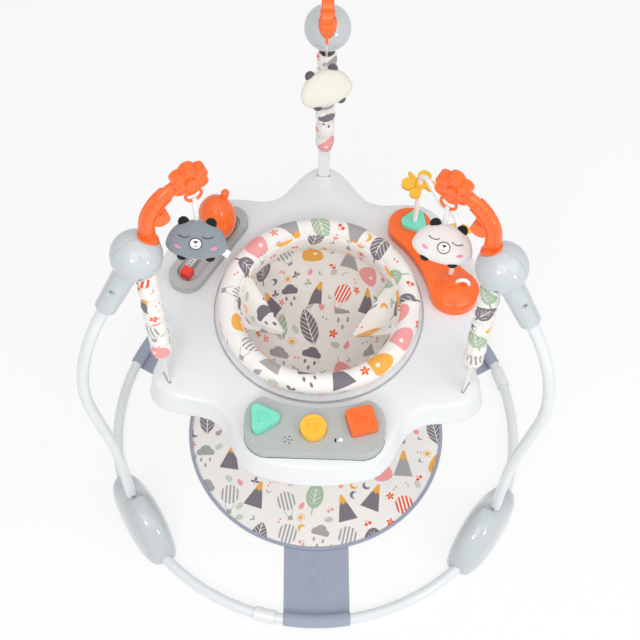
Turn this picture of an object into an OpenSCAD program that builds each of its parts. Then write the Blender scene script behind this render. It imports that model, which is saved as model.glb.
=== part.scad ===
// Baby jumper: a ring base with a floor mat, three bowed poles with domes, and a tray
// with a swivel seat and toys that hangs from the domes on covered springs.
// Millimetres, +Z up, front towards -Y. Origin: on the floor, under the centre of the ring.

/* [Base ring] */
// Radius of the ring, to the middle of its tube
ring_r = 400; // [385:1:420]
// Outer diameter of the ring tube
tube_d = 20; // [18:0.5:22]
// Wall of the ring tube
tube_wall = 1.2; // [0.8:0.1:2]
// Height of the tube's underside above the floor
tube_lift = 3; // [2.8:0.1:5]
// Distance along the ring from a mat strap to the joint sleeve before it
joint_gap = 14; // [8:1:30]
// Length of a joint sleeve along the tube
coupler_len = 40; // [30:1:46]
// Wall of a joint sleeve
coupler_wall = 3; // [2:0.5:4]

/* [Foot pods] */
// Reach of a pod ahead of its pole
pod_front = 112; // [104:1:120]
// Reach of a pod behind its pole
pod_back = 80; // [74:1:86]
// Half width of a pod at its middle
pod_half_w = 36; // [34:1:38]
// Height of a pod's ridge
pod_ridge = 118; // [114:1:124]
// Height of a pod where its pole goes in
pod_mouth = 104; // [100:1:107]
// Distance of the ridge ahead of the pole
pod_ridge_at = 22; // [20:1:28]
// Thickness of a pod's shell
pod_wall = 3; // [2:0.5:4]
// Thickness of the plate that closes a pod
cover_t = 3; // [2.5:0.5:4]
// Thickness of the rubber pads
pad_t = 1.5; // [1:0.1:2]
// Radius of the rubber pads
pad_r = 9; // [7:0.5:11]

/* [Poles] */
// Outer diameter of a pole
pole_d = 19; // [17:0.5:20]
// Wall of a pole
pole_wall = 1.2; // [0.8:0.1:2]
// Distance of a pole's foot inside the ring
pole_set_in = 5; // [2:0.5:7]
// Height of a pole's lower end
pole_base_z = 34; // [31:1:40]
// Height where a pole starts to lean outwards
pole_lean_z = 240; // [200:5:280]
// Radius of the outward lean
pole_lean_r = 1200; // [1000:50:1500]
// Angle of the outward lean
pole_lean = 6; // [3:0.5:8]
// Straight length between the lean and the bend
pole_mid = 117; // [90:1:140]
// Radius of the inward bend
pole_bend_r = 417; // [390:1:450]
// Angle from upright at which a pole enters its dome
pole_tilt = 33; // [30:0.5:36]
// Length of a pole inside its dome's neck
pole_grip = 55; // [45:1:60]
// Height of the snap button
snap_z = 116; // [115:0.5:125]
// Radius of the snap button
snap_r = 3; // [2.5:0.1:3.5]

/* [Domes] */
// Diameter of a dome's ball
dome_d = 74; // [70:1:80]
// Thickness of a dome's shell
dome_wall = 2.5; // [2:0.5:3.5]
// Distance from the neck's mouth to the centre of the ball
neck_len = 109; // [100:1:118]
// Neck diameter at the ball
neck_d_top = 38; // [36:0.5:42]
// Neck diameter at its mouth
neck_d_end = 32; // [30:0.5:36]
// Distance of the spring's line inside the centre of the ball
hang_inset = 7.4; // [6:0.2:9]
// Radius of the pin that carries a spring
pin_r = 3; // [2.5:0.1:3.5]

/* [Springs] */
// Radius of a spring, to the middle of its wire
coil_r = 7.5; // [6:0.5:8]
// Radius of the spring wire
wire_r = 1.1; // [0.9:0.1:1.3]
// Number of turns in a spring
coil_turns = 12; // [8:1:14]
// Height of a spring's lowest turn
coil_low = 605; // [600:1:620]
// Height of a spring's highest turn
coil_high = 785; // [770:1:790]
// Height of a sleeve's lower end
sleeve_low = 562; // [555:1:570]
// Bore radius of a sleeve
sleeve_bore = 11.4; // [11.2:0.1:12]
// Radius of a sleeve at its fullest
sleeve_r = 19; // [17:0.5:20]
// Number of gathers in a sleeve
sleeve_gathers = 7; // [5:1:9]
// Depth of the gathers
gather_depth = 2.2; // [1:0.1:3]
// Width of the strap under a spring
strap_w = 20; // [16:1:21]
// Thickness of that strap
strap_t = 2; // [1.5:0.1:3]

/* [Tray] */
// Height of the tray's top
tray_z = 473; // [465:1:480]
// Radius of the tray at its three waists
waist_r = 249; // [240:1:255]
// Reach of a lobe beyond the waist
lobe_reach = 46; // [40:1:52]
// Reach of a strap corner beyond its strap
corner_margin = 25; // [20:1:32]
// Rise of the strap corners above the tray
corner_rise = 5; // [0:0.5:8]
// Height of the tray's skirt
skirt_h = 43; // [38:1:50]
// Outward flare of the skirt
skirt_flare = 8; // [4:1:12]
// Thickness of the tray's skin
tray_wall = 3; // [2.5:0.5:4]
// Thickness of the tray's bottom plate
under_t = 2.5; // [2:0.5:3]

/* [Seat] */
// Inner radius of the fixed seat track
track_r = 160; // [155:0.5:165]
// Outer radius of the padded rim
rim_r = 173; // [170:0.5:176]
// Radius of the rim's padding
rim_pad_r = 20; // [17:0.5:22]
// Depth of the seat below the tray's top
seat_depth = 186; // [170:1:210]
// Thickness of the seat's padded cloth
seat_cloth = 4; // [3:0.5:5]
// Radius of a leg hole
leg_hole_r = 44; // [40:1:47]

/* [Mat] */
// Radius of the mat, to its binding
mat_r = 246; // [235:1:250]
// Thickness of the mat
mat_t = 2.4; // [1.5:0.1:2.6]
// Width of the binding
binding_w = 12; // [8:1:14]
// Width of the mat's straps
mat_strap_w = 126; // [110:1:130]
// Thickness of the mat's straps
mat_strap_t = 2.2; // [1.5:0.1:2.2]
// Turn of the mat about the upright axis
mat_turn = 2; // [0:0.5:4]

/* [Sound panel] */
// Width of the panel
panel_w = 224; // [214:1:228]
// Depth of the panel
panel_d = 94; // [90:1:96]
// Radius of the panel's corners
panel_corner = 38; // [34:1:42]
// Distance of the panel's front edge from the centre
panel_front = 275; // [272:0.5:277]
// Radius of the hollow that goes round the seat
panel_hollow_r = 200; // [197:0.5:202]
// Height of the panel
panel_h = 28; // [26:0.5:32]
// Thickness of the panel's shell
panel_wall = 2.5; // [2:0.5:3]
// Height of the buttons above the panel
button_h = 12; // [9:0.5:15]
// Travel of the buttons
button_travel = 3; // [2:0.5:4]

/* [Car track] */
// Length of the track
car_track_l = 195; // [190:1:200]
// Width of the track
car_track_w = 62; // [58:1:66]
// Height of the track
car_track_h = 14; // [13:0.5:16]
// Width of the channel
channel_w = 40; // [38:0.5:44]
// Length of the channel
channel_l = 160; // [154:1:164]
// Distance of the car behind the middle of the track
car_at = 30; // [20:1:40]
// Radius of a wheel
wheel_r = 14; // [12:0.5:15]
// Width of a wheel
wheel_w = 6; // [5:0.5:7]
// Radius of the car's body
car_r = 33; // [30:0.5:36]
// Height of the car's body
car_h = 90; // [84:1:110]

/* [Bead toy] */
// Radius of the rear lobe of the base
bead_rear_r = 38; // [35:0.5:40]
// Radius of the front lobe of the base
bead_front_r = 42; // [38:0.5:44]
// Height of the base
bead_h = 16; // [14:0.5:20]
// Radius of the bar
bar_r = 4.5; // [4:0.1:5]
// Height of the bar's upright above the tray
bar_rise = 140; // [125:1:150]
// Radius of the bends in the bar
bar_bend = 22; // [18:1:24]
// Reach of the butterfly's wings
wing_reach = 31; // [26:0.5:34]
// Radius of the rainbow
rainbow_r = 28; // [24:0.5:32]

/* [Hanging toys] */
// Radius of the bend in a toy arm
arm_bend = 68; // [62:1:74]
// Width of a toy arm
arm_w = 22; // [18:0.5:26]
// Thickness of a toy arm
arm_t = 13; // [11:0.5:15]
// Radius of the ring under a flower
loop_r = 11.5; // [10:0.5:13]
// Thickness radius of that ring
loop_wire = 2.3; // [2:0.1:2.6]
// Length of the rear toy's ribbon
ribbon_rear = 60; // [40:1:80]
// Length of the left toy's ribbon
ribbon_left = 46; // [30:1:80]
// Length of the right toy's ribbon
ribbon_right = 36; // [30:1:80]
// Backward lean of the soft toys
toy_pitch = 45; // [30:1:50]
// Width of a soft toy
toy_w = 82; // [72:1:92]
// Height of a soft toy
toy_h = 56; // [48:1:64]
// Thickness of a soft toy
toy_t = 26; // [20:1:32]

/* [Fits] */
// Gap between fixed pieces that fit in each other
fit = 0.2; // [0.1:0.05:0.3]
// Gap between pieces that move past each other
clear = 0.3; // [0.25:0.05:0.5]

/* [Hidden] */
$fn = 64;

// Legs in the order rear, left, right
REAR = 0;
LEFT = 1;
RIGHT = 2;
leg_angles = [90, 210, 330];
front_lobe_a = 270;
car_lobe_a = 150;
bead_lobe_a = 30;
// The right pod and pole mirror the other two, so that both long ends point to the front
leg_sides = [1, 1, -1];

// Colours
pale_grey = "#C8CDD0";
tube_white = "#E3E8EA";
tray_white = "#E9E9E9";
orange = "#FF641A";
mint = "#7FE0C5";
yellow = "#FFC125";
panel_grey = "#C4C7C9";
lilac = "#A9ACBF";
cloth_white = "#F2EFEB";
steel = "#9DA2A6";
dark = "#26282A";

// Base ring
tube_r = tube_d / 2;
ring_z = tube_lift + tube_r;
tube_end_a = 2;
coupler_a = asin(coupler_len / 2 / ring_r);

// Pods
pod_end_w = tube_r + 4.5;
pod_end_h = tube_lift + tube_d + 5;
pod_mid = (pod_front - pod_back) / 2;
pod_half_l = (pod_front + pod_back) / 2;
pod_swell_in = 10;
pod_steps = 14;
pod_arc_steps = 12;
pod_screw_spots = [[-30, -38], [-34, 58]];
pod_pad_spots = [[-12, -30], [-16, 62]];
pod_boss_r = 5;
screw_r = 1.6;
screw_head_r = 3.2;
screw_head_h = 1.5;
pod_screw_l = 16;

// Poles and domes
pole_r = pole_d / 2;
pole_foot_r = ring_r - pole_set_in;
pole_x = -pole_set_in;
pole_turn = pole_lean + pole_tilt;
pole_grip_a = pole_grip / pole_bend_r * 180 / PI;
spigot_l = 60;
mid_x = pole_foot_r + pole_lean_r * (1 - cos(pole_lean)) + pole_mid * sin(pole_lean);
mid_z = pole_lean_z + pole_lean_r * sin(pole_lean) + pole_mid * cos(pole_lean);
top_x = mid_x - pole_bend_r * (cos(pole_lean) - cos(pole_tilt));
top_z = mid_z + pole_bend_r * (sin(pole_lean) + sin(pole_tilt));
dome_r = dome_d / 2;
dome_x = top_x - neck_len * sin(pole_tilt);
dome_z = top_z + neck_len * cos(pole_tilt);
hang_r = dome_x - hang_inset;
dome_in = dome_r - dome_wall;
pin_half = sqrt(dome_in * dome_in - hang_inset * hang_inset) - pin_r;
pin_boss_r = pin_r + 3;
pin_boss_in = 12;
spring_exit_r = 10;
dome_screw_at = [10, -9];
dome_screw_seat = 14;
dome_screw_end = -16;
neck_screw_s = 66;
neck_screw_off = 13.2;
neck_screw_seat = 5;
neck_screw_end = -7;
dome_boss_r = 4.6;
dome_head_h = 2.4;

// Springs and straps
coil_rings = 8;
wire_sides = 6;
coil_lead = 0.75;
sleeve_drop = 6.5;
sleeve_high = dome_z - dome_r - sleeve_drop;
sleeve_steps = 42;
sleeve_hem = 2;
strap_top = sleeve_low + 14;
strap_bar_w = 34;
strap_bar_t = 6;
slot_w = strap_w + 4;
slot_t = strap_t + 2.4;

// Tray
tray_steps = 120;
corner_reach = hang_r + corner_margin - waist_r;
lobe_from = 22;
lobe_to = 42;
corner_to = 20;
edge_round = 12;
tray_in_r = track_r + 18;
skirt_z = tray_z - skirt_h;
under_gap = tray_wall + 0.9;
tray_screw_r = track_r + 22;
tray_screw_count = 6;

// Seat
track_wall = 4;
track_low = tray_z - 33;
track_flange_r = tray_in_r + 14;
seat_wall_r = track_r - clear;
seat_wall_t = 5.5;
seat_flange_t = 4;
seat_flange_z = tray_z + clear;
seat_low = track_low - 9;
retainer_r = track_r + 10;
retainer_t = 7.4;
rim_mid_r = rim_r - rim_pad_r;
rim_base = seat_flange_z + seat_flange_t + fit;
sling_top_r = seat_wall_r - seat_wall_t - 0.5;
sling_low = tray_z - seat_depth;
leg_hole_a = 44;
leg_hole_z = sling_low + 66;
leg_hole_tilt = 12;
leg_hole_from = 40;

// Mat
strap_wrap_r = tube_r + 0.3;
mat_out_r = mat_r + binding_w;
mat_strap_a = 2 * asin(mat_strap_w / 2 / ring_r);
lobe_from_leg = 60;
// Angle from each foot pod to the joint in the tube after it
joint_angle = lobe_from_leg + mat_turn - mat_strap_a / 2 - asin(joint_gap / ring_r) - coupler_a;

// Panel
seat_on = 0.2;
panel_z = tray_z + seat_on;
panel_top = panel_z + panel_h;
panel_in_top = panel_top - panel_wall;
panel_mid_y = panel_d / 2 - panel_front;
button_flange = 2;
triangle_at = [-82, -224];
round_at = [-2, -237];
square_at = [74, -222];
triangle_turn = 5;
square_turn = 62;
triangle_reach = 18;
triangle_corner = 9;
round_r = 21;
square_reach = 23;
square_corner = 6;
speaker_at = [-41, -256];
speaker_r = 17;
switch_at = [42, -254];
switch_travel = 6;
board_at = [-3.5, -227];
board_z = panel_in_top - 12;
board_t = 1.6;
board_size = [80, 32];
door_size = [64, 40];
door_at = [10, -232];

// Car track, in the frame of its lobe: X outwards, Y towards the front
lobe_mid_r = 225;
track_top = tray_z + seat_on + car_track_h;
channel_depth = 6;
channel_floor = track_top - channel_depth;
floor_t = 3;
keel_w = 6;
keel_l = 34;
keel_foot_w = 14;
keel_foot_t = 2.6;
keel_foot_room = 3;
slot_end = 10;
stop_size = [17, 17, 16];
stop_y = channel_l / 2 - stop_size[1] / 2 - 6;
axle_z = channel_floor + 0.2 + wheel_r;
axle_y = 20;
axle_r = 2;
chassis_w = 18;
chassis_l = 58;
chassis_z = channel_floor + 4;
wheel_x = chassis_w / 2 + 0.8;
wheel_room = 1.2;
car_low = axle_z + 4;
tail_at = [-4, -14];
tail_up = 0.8;
tail_r = 7;
tail_l = 16;
tail_tilt = 38;
car_egg_steps = 18;

// Bead toy, in the frame of its lobe: X outwards, Y towards the rear
bead_rear_y = 70;
bead_front_y = -80;
bead_x = -6;
bead_side_r = 200;
bead_lap = 0.05;
bead_span = bead_rear_y - bead_front_y;
bead_side_y = (bead_rear_y + bead_front_y) / 2
  + (pow(bead_side_r + bead_front_r, 2) - pow(bead_side_r + bead_rear_r, 2)) / (2 * bead_span);
bead_side_x = sqrt(pow(bead_side_r + bead_rear_r, 2) - pow(bead_rear_y - bead_side_y, 2)) - bead_lap;
bead_top = tray_z + seat_on + bead_h;
bead_dome = 10;
plinth_h = 8;
bar_x = 4;
bar_y = 71;
bar_foot = bead_top - 4;
bar_turns = [105, -45, 120];
bar_slope = 30;
bar_climb = 18;
bar_span = bar_bend * (1 - cos(105)) + bar_slope * sin(105) + bar_bend * (cos(60) - cos(105))
  + bar_climb * sin(60) + bar_bend * (cos(60) + 1);
bar_drop = bar_bend * sin(105) + bar_slope * cos(105) + bar_bend * (sin(105) - sin(60))
  + bar_climb * cos(60) - bar_bend * sin(60);
bar_up = bar_rise - (bar_foot - tray_z);
spinner_t = 7;
spinner_hub_r = 8;
spinner_z = tray_z + bar_rise - 18;
collar_h = 2;

// Toy arms, in the frame of a leg
arm_x = dome_x - 21.4;
arm_low = dome_z + 16;
arm_bend_z = dome_z + 46;
arm_turn = 72;
arm_tip_x = arm_x - arm_bend * (1 - cos(arm_turn));
arm_tip_z = arm_bend_z + arm_bend * sin(arm_turn);
flower_reach = 22;
flower_x = arm_tip_x - flower_reach * sin(arm_turn);
flower_z = arm_tip_z + flower_reach * cos(arm_turn);
petal_r = 11;
petal_at = 16;
petals = 6;
flower_t = 15;
peg_r = 6;
foot_flange_r = 14;
foot_flange_t = 4;
loop_x = flower_x - 4;
loop_z = flower_z - petal_at - petal_r - loop_r + 1;
loop_low = loop_z - loop_r;
ribbon_w = 6.5;
ribbon_t = 1.2;
eye_room = 0.7;
ribbons = [ribbon_rear, ribbon_left, ribbon_right];
toy_turns = [200, 0, 0];
toy_tilts = [18, 2, 14];
ribbon_sewn = 6;
toy_sides = 36;
toy_bands = [-64, -38, -13, 13, 38, 64];

// Smooth step from 0 to 1
function ease(x) = let (s = max(0, min(1, x))) s * s * (3 - 2 * s);

// Power of a signed number, kept signed
function signed_pow(x, p) = sign(x) * pow(abs(x), p);

// Triangles of a loft: n rings of m points, closed at both ends; the rings run anticlockwise along the loft
function loft_faces(n, m) = concat(
  [for (k = [0 : n - 2], j = [0 : m - 1]) [k * m + j, k * m + (j + 1) % m, (k + 1) * m + (j + 1) % m]],
  [for (k = [0 : n - 2], j = [0 : m - 1]) [k * m + j, (k + 1) * m + (j + 1) % m, (k + 1) * m + j]],
  [[for (j = [m - 1 : -1 : 0]) j]],
  [[for (j = [0 : m - 1]) (n - 1) * m + j]]
);

// Puts its children in the frame of one leg: X outwards, Y along the ring
module at_leg(leg) {
  rotate([0, 0, leg_angles[leg]]) mirror([0, leg_sides[leg] < 0 ? 1 : 0, 0]) children();
}

// Puts its children in the frame of one tray lobe, on the tray's axis
module at_lobe(angle) {
  rotate([0, 0, angle]) children();
}

// Carries a flat section along runs [length, 0] and bends [radius, angle]; a positive bend turns towards -X
module follow(path, i = 0) {
  if (i < len(path)) {
    size = path[i][0];
    turn = path[i][1];
    if (turn == 0) {
      linear_extrude(size) children();
      translate([0, 0, size]) follow(path, i + 1) children();
    } else {
      mirror([turn < 0 ? 1 : 0, 0, 0]) translate([-size, 0, 0]) rotate([90, 0, 0])
        rotate_extrude(angle = abs(turn)) translate([size, 0]) children();
      translate([-sign(turn) * size * (1 - cos(turn)), 0, size * sin(abs(turn))])
        rotate([0, -turn, 0]) follow(path, i + 1) children();
    }
  }
}

// Points [x, z, heading] along the same kind of path, with bends cut into short steps
function trace(path, i = 0, x = 0, z = 0, h = 0) =
  i == len(path) ? [[x, z, h]]
  : path[i][1] == 0 ? concat([[x, z, h]], trace(path, i + 1, x - path[i][0] * sin(h), z + path[i][0] * cos(h), h))
  : let (
      turn = path[i][1],
      r = path[i][0] * sign(turn),
      n = ceil(abs(turn) / 12),
      spots = [for (k = [0 : n]) let (a = h + turn * k / n) [x + r * (cos(a) - cos(h)), z + r * (sin(a) - sin(h)), a]])
    concat([for (k = [0 : n - 1]) spots[k]], trace(path, i + 1, spots[n][0], spots[n][1], spots[n][2]));

// Round bar along such a path
module bent_bar(path, r, sides) {
  spots = trace(path);
  rings = [for (p = spots) [for (j = [0 : sides - 1]) let (b = 360 * j / sides)
    [p[0] - r * cos(b) * cos(p[2]), r * sin(b), p[1] - r * cos(b) * sin(p[2])]]];
  polyhedron([for (ring = rings) each ring], loft_faces(len(rings), sides));
}

// Flat ring section
module pipe_section(r, wall) {
  difference() {
    circle(r);
    circle(r - wall);
  }
}

// Part of a ring of tube that lies round the upright axis
module ring_tube(r, wall, from, to) {
  translate([0, 0, ring_z]) rotate([0, 0, from]) rotate_extrude(angle = to - from, $fn = 128)
    translate([ring_r, 0]) pipe_section(r, wall);
}

// Flat outline with n round corners
module round_outline(n, reach, corner) {
  for (i = [0 : n - 1]) rotate([0, 0, i * 360 / n]) translate([reach, 0]) circle(corner);
  polygon([for (i = [0 : n - 1], s = [-1, 1])
    let (a = i * 360 / n) reach * [cos(a), sin(a)] + (corner - 0.05) * [cos(a + s * 180 / n), sin(a + s * 180 / n)]]);
}

// Flat rectangle with round corners
module round_rect(w, d, corner) {
  square([w - 2 * corner, d - 0.1], center = true);
  square([w - 0.1, d - 2 * corner], center = true);
  for (x = [-1, 1], y = [-1, 1]) translate([x * (w / 2 - corner), y * (d / 2 - corner)]) circle(corner);
}

// Base ring

module base_tubes_long() {
  color(tube_white) for (leg = leg_angles) ring_tube(tube_r, tube_wall, leg + joint_angle + 0.05, leg + 120 - tube_end_a);
}

module base_tubes_short() {
  color(tube_white) for (leg = leg_angles) ring_tube(tube_r, tube_wall, leg + tube_end_a, leg + joint_angle - 0.05);
}

module base_couplers() {
  color(tube_white) for (leg = leg_angles)
    ring_tube(tube_r + fit + coupler_wall, coupler_wall, leg + joint_angle - coupler_a, leg + joint_angle + coupler_a);
}

// Foot pods, in the frame of a leg with the ring's tube at X 0

function pod_u(t) = (t - pod_mid) / pod_half_l;
function pod_centre(t) = -t * t / (2 * ring_r) - pod_swell_in * (1 - pod_u(t) * pod_u(t));
function pod_width(t) = pod_end_w + (pod_half_w - pod_end_w) * sqrt(max(0, 1 - pow(abs(pod_u(t)), 2.4)));
function pod_height(t) =
  t <= 0 ? pod_end_h + (pod_mouth - pod_end_h) * pow((t + pod_back) / pod_back, 1.6)
  : t <= pod_ridge_at ? pod_mouth + (pod_ridge - pod_mouth) * ease(t / pod_ridge_at)
  : pod_end_h + (pod_ridge - pod_end_h) * sqrt(max(0, 1 - pow((t - pod_ridge_at) / (pod_front - pod_ridge_at), 2)));
function pod_station(k) = pod_mid - pod_half_l * cos(180 * k / pod_steps);
function pod_ring(t, inset, y) =
  let (low = inset > 0 ? pad_t - 1 : pad_t, w = pod_width(t) - inset, h = pod_height(t) - inset - low)
  [for (j = [0 : pod_arc_steps]) let (a = 180 * j / pod_arc_steps)
    [pod_centre(t) + w * signed_pow(cos(a), 0.75), y, low + h * pow(sin(a), 0.75)]];

module pod_loft(inset) {
  shrink = (pod_half_l - inset) / pod_half_l;
  rings = [for (k = [0 : pod_steps]) let (t = pod_station(k)) pod_ring(t, inset, pod_mid + (t - pod_mid) * shrink)];
  polyhedron([for (ring = rings) each ring], loft_faces(pod_steps + 1, pod_arc_steps + 1));
}

module pod_column(spot, r, from) {
  intersection() {
    pod_loft(0);
    translate([spot[0], spot[1], from]) cylinder(r = r, h = pod_ridge, $fn = 24);
  }
}

module foot_pod(leg) {
  color(pale_grey) at_leg(leg) translate([ring_r, 0, 0]) difference() {
    union() {
      difference() {
        pod_loft(0);
        pod_loft(pod_wall);
      }
      pod_column([pole_x, 0], pole_r + 4, pole_base_z - 4);
      for (spot = pod_screw_spots) pod_column(spot, pod_boss_r, pad_t + cover_t + fit);
    }
    translate([pole_x, 0, pole_base_z]) cylinder(r = pole_r + fit, h = pod_ridge, $fn = 32);
    for (t = [-pod_back, pod_front]) translate([-ring_r, 0, ring_z]) rotate([0, 0, asin(t / ring_r)])
      translate([ring_r, 0, 0]) rotate([90, 0, 0]) cylinder(r = tube_r + fit + 0.2, h = 24, center = true, $fn = 32);
    for (spot = pod_screw_spots) translate([spot[0], spot[1], 0])
      cylinder(r = screw_r + 0.1, h = pod_screw_l + 4, $fn = 16);
  }
}

module foot_covers() {
  stations = [for (k = [1 : pod_steps - 1]) pod_station(k)];
  inset = pod_wall + 0.4;
  shrink = (pod_half_l - pod_wall) / pod_half_l;
  along = [for (t = stations) pod_mid + (t - pod_mid) * shrink];
  last = len(stations) - 1;
  color(pale_grey) for (leg = [REAR, LEFT, RIGHT]) at_leg(leg) translate([ring_r, 0, pad_t]) difference() {
    linear_extrude(cover_t) polygon(concat(
      [for (k = [0 : last]) [pod_centre(stations[k]) + pod_width(stations[k]) - inset, along[k]]],
      [for (k = [last : -1 : 0]) [pod_centre(stations[k]) - pod_width(stations[k]) + inset, along[k]]]));
    translate([-ring_r, 0, ring_z - pad_t]) rotate([0, 0, -30])
      rotate_extrude(angle = 60, $fn = 128) translate([ring_r, 0]) circle(tube_r + fit);
    for (spot = pod_screw_spots) translate([spot[0], spot[1], 0]) {
      cylinder(r = screw_r + fit, h = 4 * cover_t, center = true);
      cylinder(r = screw_head_r + fit, h = 2 * screw_head_h, center = true);
    }
  }
}

module foot_pads() {
  color(dark) for (leg = [REAR, LEFT, RIGHT]) at_leg(leg) for (spot = pod_pad_spots)
    translate([ring_r + spot[0], spot[1], 0]) cylinder(r = pad_r, h = pad_t);
}

// Poles and their snap buttons

// One tube of a pole: a run and the bend after it
module pole_tube(run, bend_r, turn) {
  difference() {
    follow([[run, 0], [bend_r, turn]]) circle(pole_r);
    follow([[run, 0], [bend_r, turn]]) circle(pole_r - pole_wall);
  }
}

module at_pole_joint() {
  translate([pole_foot_r + pole_lean_r * (1 - cos(pole_lean)), 0, pole_lean_z + pole_lean_r * sin(pole_lean)])
    rotate([0, pole_lean, 0]) children();
}

module pole(leg) {
  color(tube_white) at_leg(leg) {
    difference() {
      translate([pole_foot_r, 0, pole_base_z]) pole_tube(pole_lean_z - pole_base_z, pole_lean_r, -pole_lean);
      translate([pole_foot_r, 0, snap_z]) rotate([-90, 0, 0]) cylinder(r = snap_r + fit, h = pole_d);
    }
    at_pole_joint() translate([0, 0, 0.1]) pole_tube(pole_mid - 0.1, pole_bend_r, pole_turn + pole_grip_a);
    at_pole_joint() translate([0, 0, -spigot_l / 2]) cylinder(r = pole_r - pole_wall - 0.5, h = spigot_l);
  }
}

module snap_button(leg) {
  flange_r = snap_r + 1.5;
  inner_r = pole_r - pole_wall;
  flange_y = sqrt(inner_r * inner_r - flange_r * flange_r) - 0.15;
  color(steel) at_leg(leg) translate([pole_foot_r, 0, snap_z]) rotate([-90, 0, 0]) {
    translate([0, 0, flange_y - 1.6]) cylinder(r = flange_r, h = 1.6);
    translate([0, 0, flange_y - 1]) cylinder(r = snap_r, h = pole_r + 2.5 - flange_y);
  }
}

// Domes, about the centre of the ball: X outwards, the halves meet on the plane Y 0

module at_dome(leg) {
  at_leg(leg) translate([dome_x, 0, dome_z]) children();
}

module along_neck() {
  rotate([0, 180 - pole_tilt, 0]) children();
}

// Bore of the neck: the pole's bend goes on inside it
module neck_bore() {
  translate([0, 0, neck_len]) rotate([0, 180, 0]) translate([-pole_bend_r, 0, 0]) rotate([90, 0, 0])
    rotate([0, 0, -1]) rotate_extrude(angle = pole_grip_a + 1.1, $fn = 128)
    translate([pole_bend_r, 0]) circle(pole_r + fit);
}

module dome_solid() {
  difference() {
    union() {
      difference() {
        sphere(dome_r);
        sphere(dome_in);
      }
      along_neck() difference() {
        cylinder(r1 = neck_d_top / 2, r2 = neck_d_end / 2, h = neck_len);
        neck_bore();
        sphere(dome_in);
      }
      intersection() {
        sphere(dome_r - 1);
        union() {
          translate([-hang_inset, 0, 0]) rotate([90, 0, 0]) difference() {
            cylinder(r = pin_boss_r, h = dome_d, center = true);
            cylinder(r = 2 * pin_boss_r, h = 2 * pin_boss_in, center = true);
          }
          translate([dome_screw_at[0], 0, dome_screw_at[1]]) rotate([90, 0, 0])
            cylinder(r = dome_boss_r, h = dome_d, center = true);
        }
      }
    }
    translate([-hang_inset, 0, 0]) rotate([90, 0, 0]) cylinder(r = pin_r + 0.1, h = 2 * pin_half, center = true);
    translate([-hang_inset, 0, -dome_d]) cylinder(r = spring_exit_r, h = dome_d);
    translate([arm_x - dome_x, 0, 0]) cylinder(r = peg_r + fit, h = dome_d);
    dome_screw_places() {
      rotate([90, 0, 0]) cylinder(r = screw_r + 0.1, h = dome_d, center = true);
      rotate([-90, 0, 0]) cylinder(r = screw_head_r + fit, h = dome_d);
    }
  }
}

// The two screws of a dome, each at the seat of its head
module dome_screw_places() {
  translate([dome_screw_at[0], dome_screw_seat, dome_screw_at[1]]) children();
  along_neck() translate([-neck_screw_off, neck_screw_seat, neck_screw_s]) rotate([0, pole_tilt - 180, 0]) children();
}

module dome_half(side) {
  reach = 4 * dome_d;
  intersection() {
    dome_solid();
    translate([-reach / 2, side > 0 ? 0.05 : -reach - 0.05, -reach / 2]) cube(reach);
  }
}

module dome_shell(leg) {
  color(pale_grey) at_dome(leg) dome_half(-1);
}

module dome_covers() {
  color(pale_grey) for (leg = [REAR, LEFT, RIGHT]) at_dome(leg) dome_half(1);
}

module screw(shank_l, head_h) {
  cylinder(r = screw_head_r, h = head_h);
  translate([0, 0, -shank_l]) cylinder(r = screw_r, h = shank_l);
}

module frame_screws() {
  color(steel) for (leg = [REAR, LEFT, RIGHT]) {
    at_leg(leg) for (spot = pod_screw_spots) translate([ring_r + spot[0], spot[1], pad_t + screw_head_h])
      rotate([180, 0, 0]) screw(pod_screw_l, screw_head_h);
    at_dome(leg) {
      translate([dome_screw_at[0], dome_screw_seat, dome_screw_at[1]]) rotate([-90, 0, 0])
        screw(dome_screw_seat - dome_screw_end, dome_head_h);
      along_neck() translate([-neck_screw_off, neck_screw_seat, neck_screw_s]) rotate([-90, 0, 0])
        screw(neck_screw_seat - neck_screw_end, dome_head_h);
    }
  }
}

module spring_pins() {
  color(steel) for (leg = [REAR, LEFT, RIGHT]) at_dome(leg) translate([-hang_inset, 0, 0]) rotate([90, 0, 0])
    cylinder(r = pin_r, h = 2 * pin_half - 0.4, center = true);
}

// Springs, sleeves and straps

wire_top = dome_z - pin_r - clear;
wire_low = strap_top + clear;
coil_count = coil_turns * coil_rings;
function coil_swell(turn) = ease(min(turn, coil_turns - turn) / coil_lead);
function coil_point(k) = let (turn = k / coil_rings, r = coil_r * coil_swell(turn))
  [r * cos(360 * turn), r * sin(360 * turn), coil_low + (coil_high - coil_low) * turn / coil_turns];
wire_path = concat([[0, 0, wire_low]], [for (k = [0 : coil_count]) coil_point(k)], [[0, 0, wire_top]]);
wire_last = len(wire_path) - 1;
function unit(v) = v / norm(v);
function wire_ring(k) =
  let (
    t = unit(wire_path[min(k + 1, wire_last)] - wire_path[max(k - 1, 0)]),
    a = 360 * max(0, min(coil_count, k - 1)) / coil_rings,
    side = unit(cross(t, [-sin(a), cos(a), 0])),
    up = cross(t, side))
  [for (j = [0 : wire_sides - 1]) let (b = 360 * j / wire_sides)
    wire_path[k] + wire_r * (cos(b) * side - sin(b) * up)];
coil_gap = min([for (k = [coil_rings : coil_count - coil_rings], m = [k + coil_rings - 2 : coil_count - coil_rings])
  norm(coil_point(k) - coil_point(m))]) - 2 * wire_r;
echo(least_gap_between_turns = coil_gap);

module springs() {
  points = [for (k = [0 : wire_last]) each wire_ring(k)];
  color(steel) for (angle = leg_angles) rotate([0, 0, angle]) translate([hang_r, 0, 0])
    polyhedron(points, loft_faces(wire_last + 1, wire_sides));
}

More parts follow.
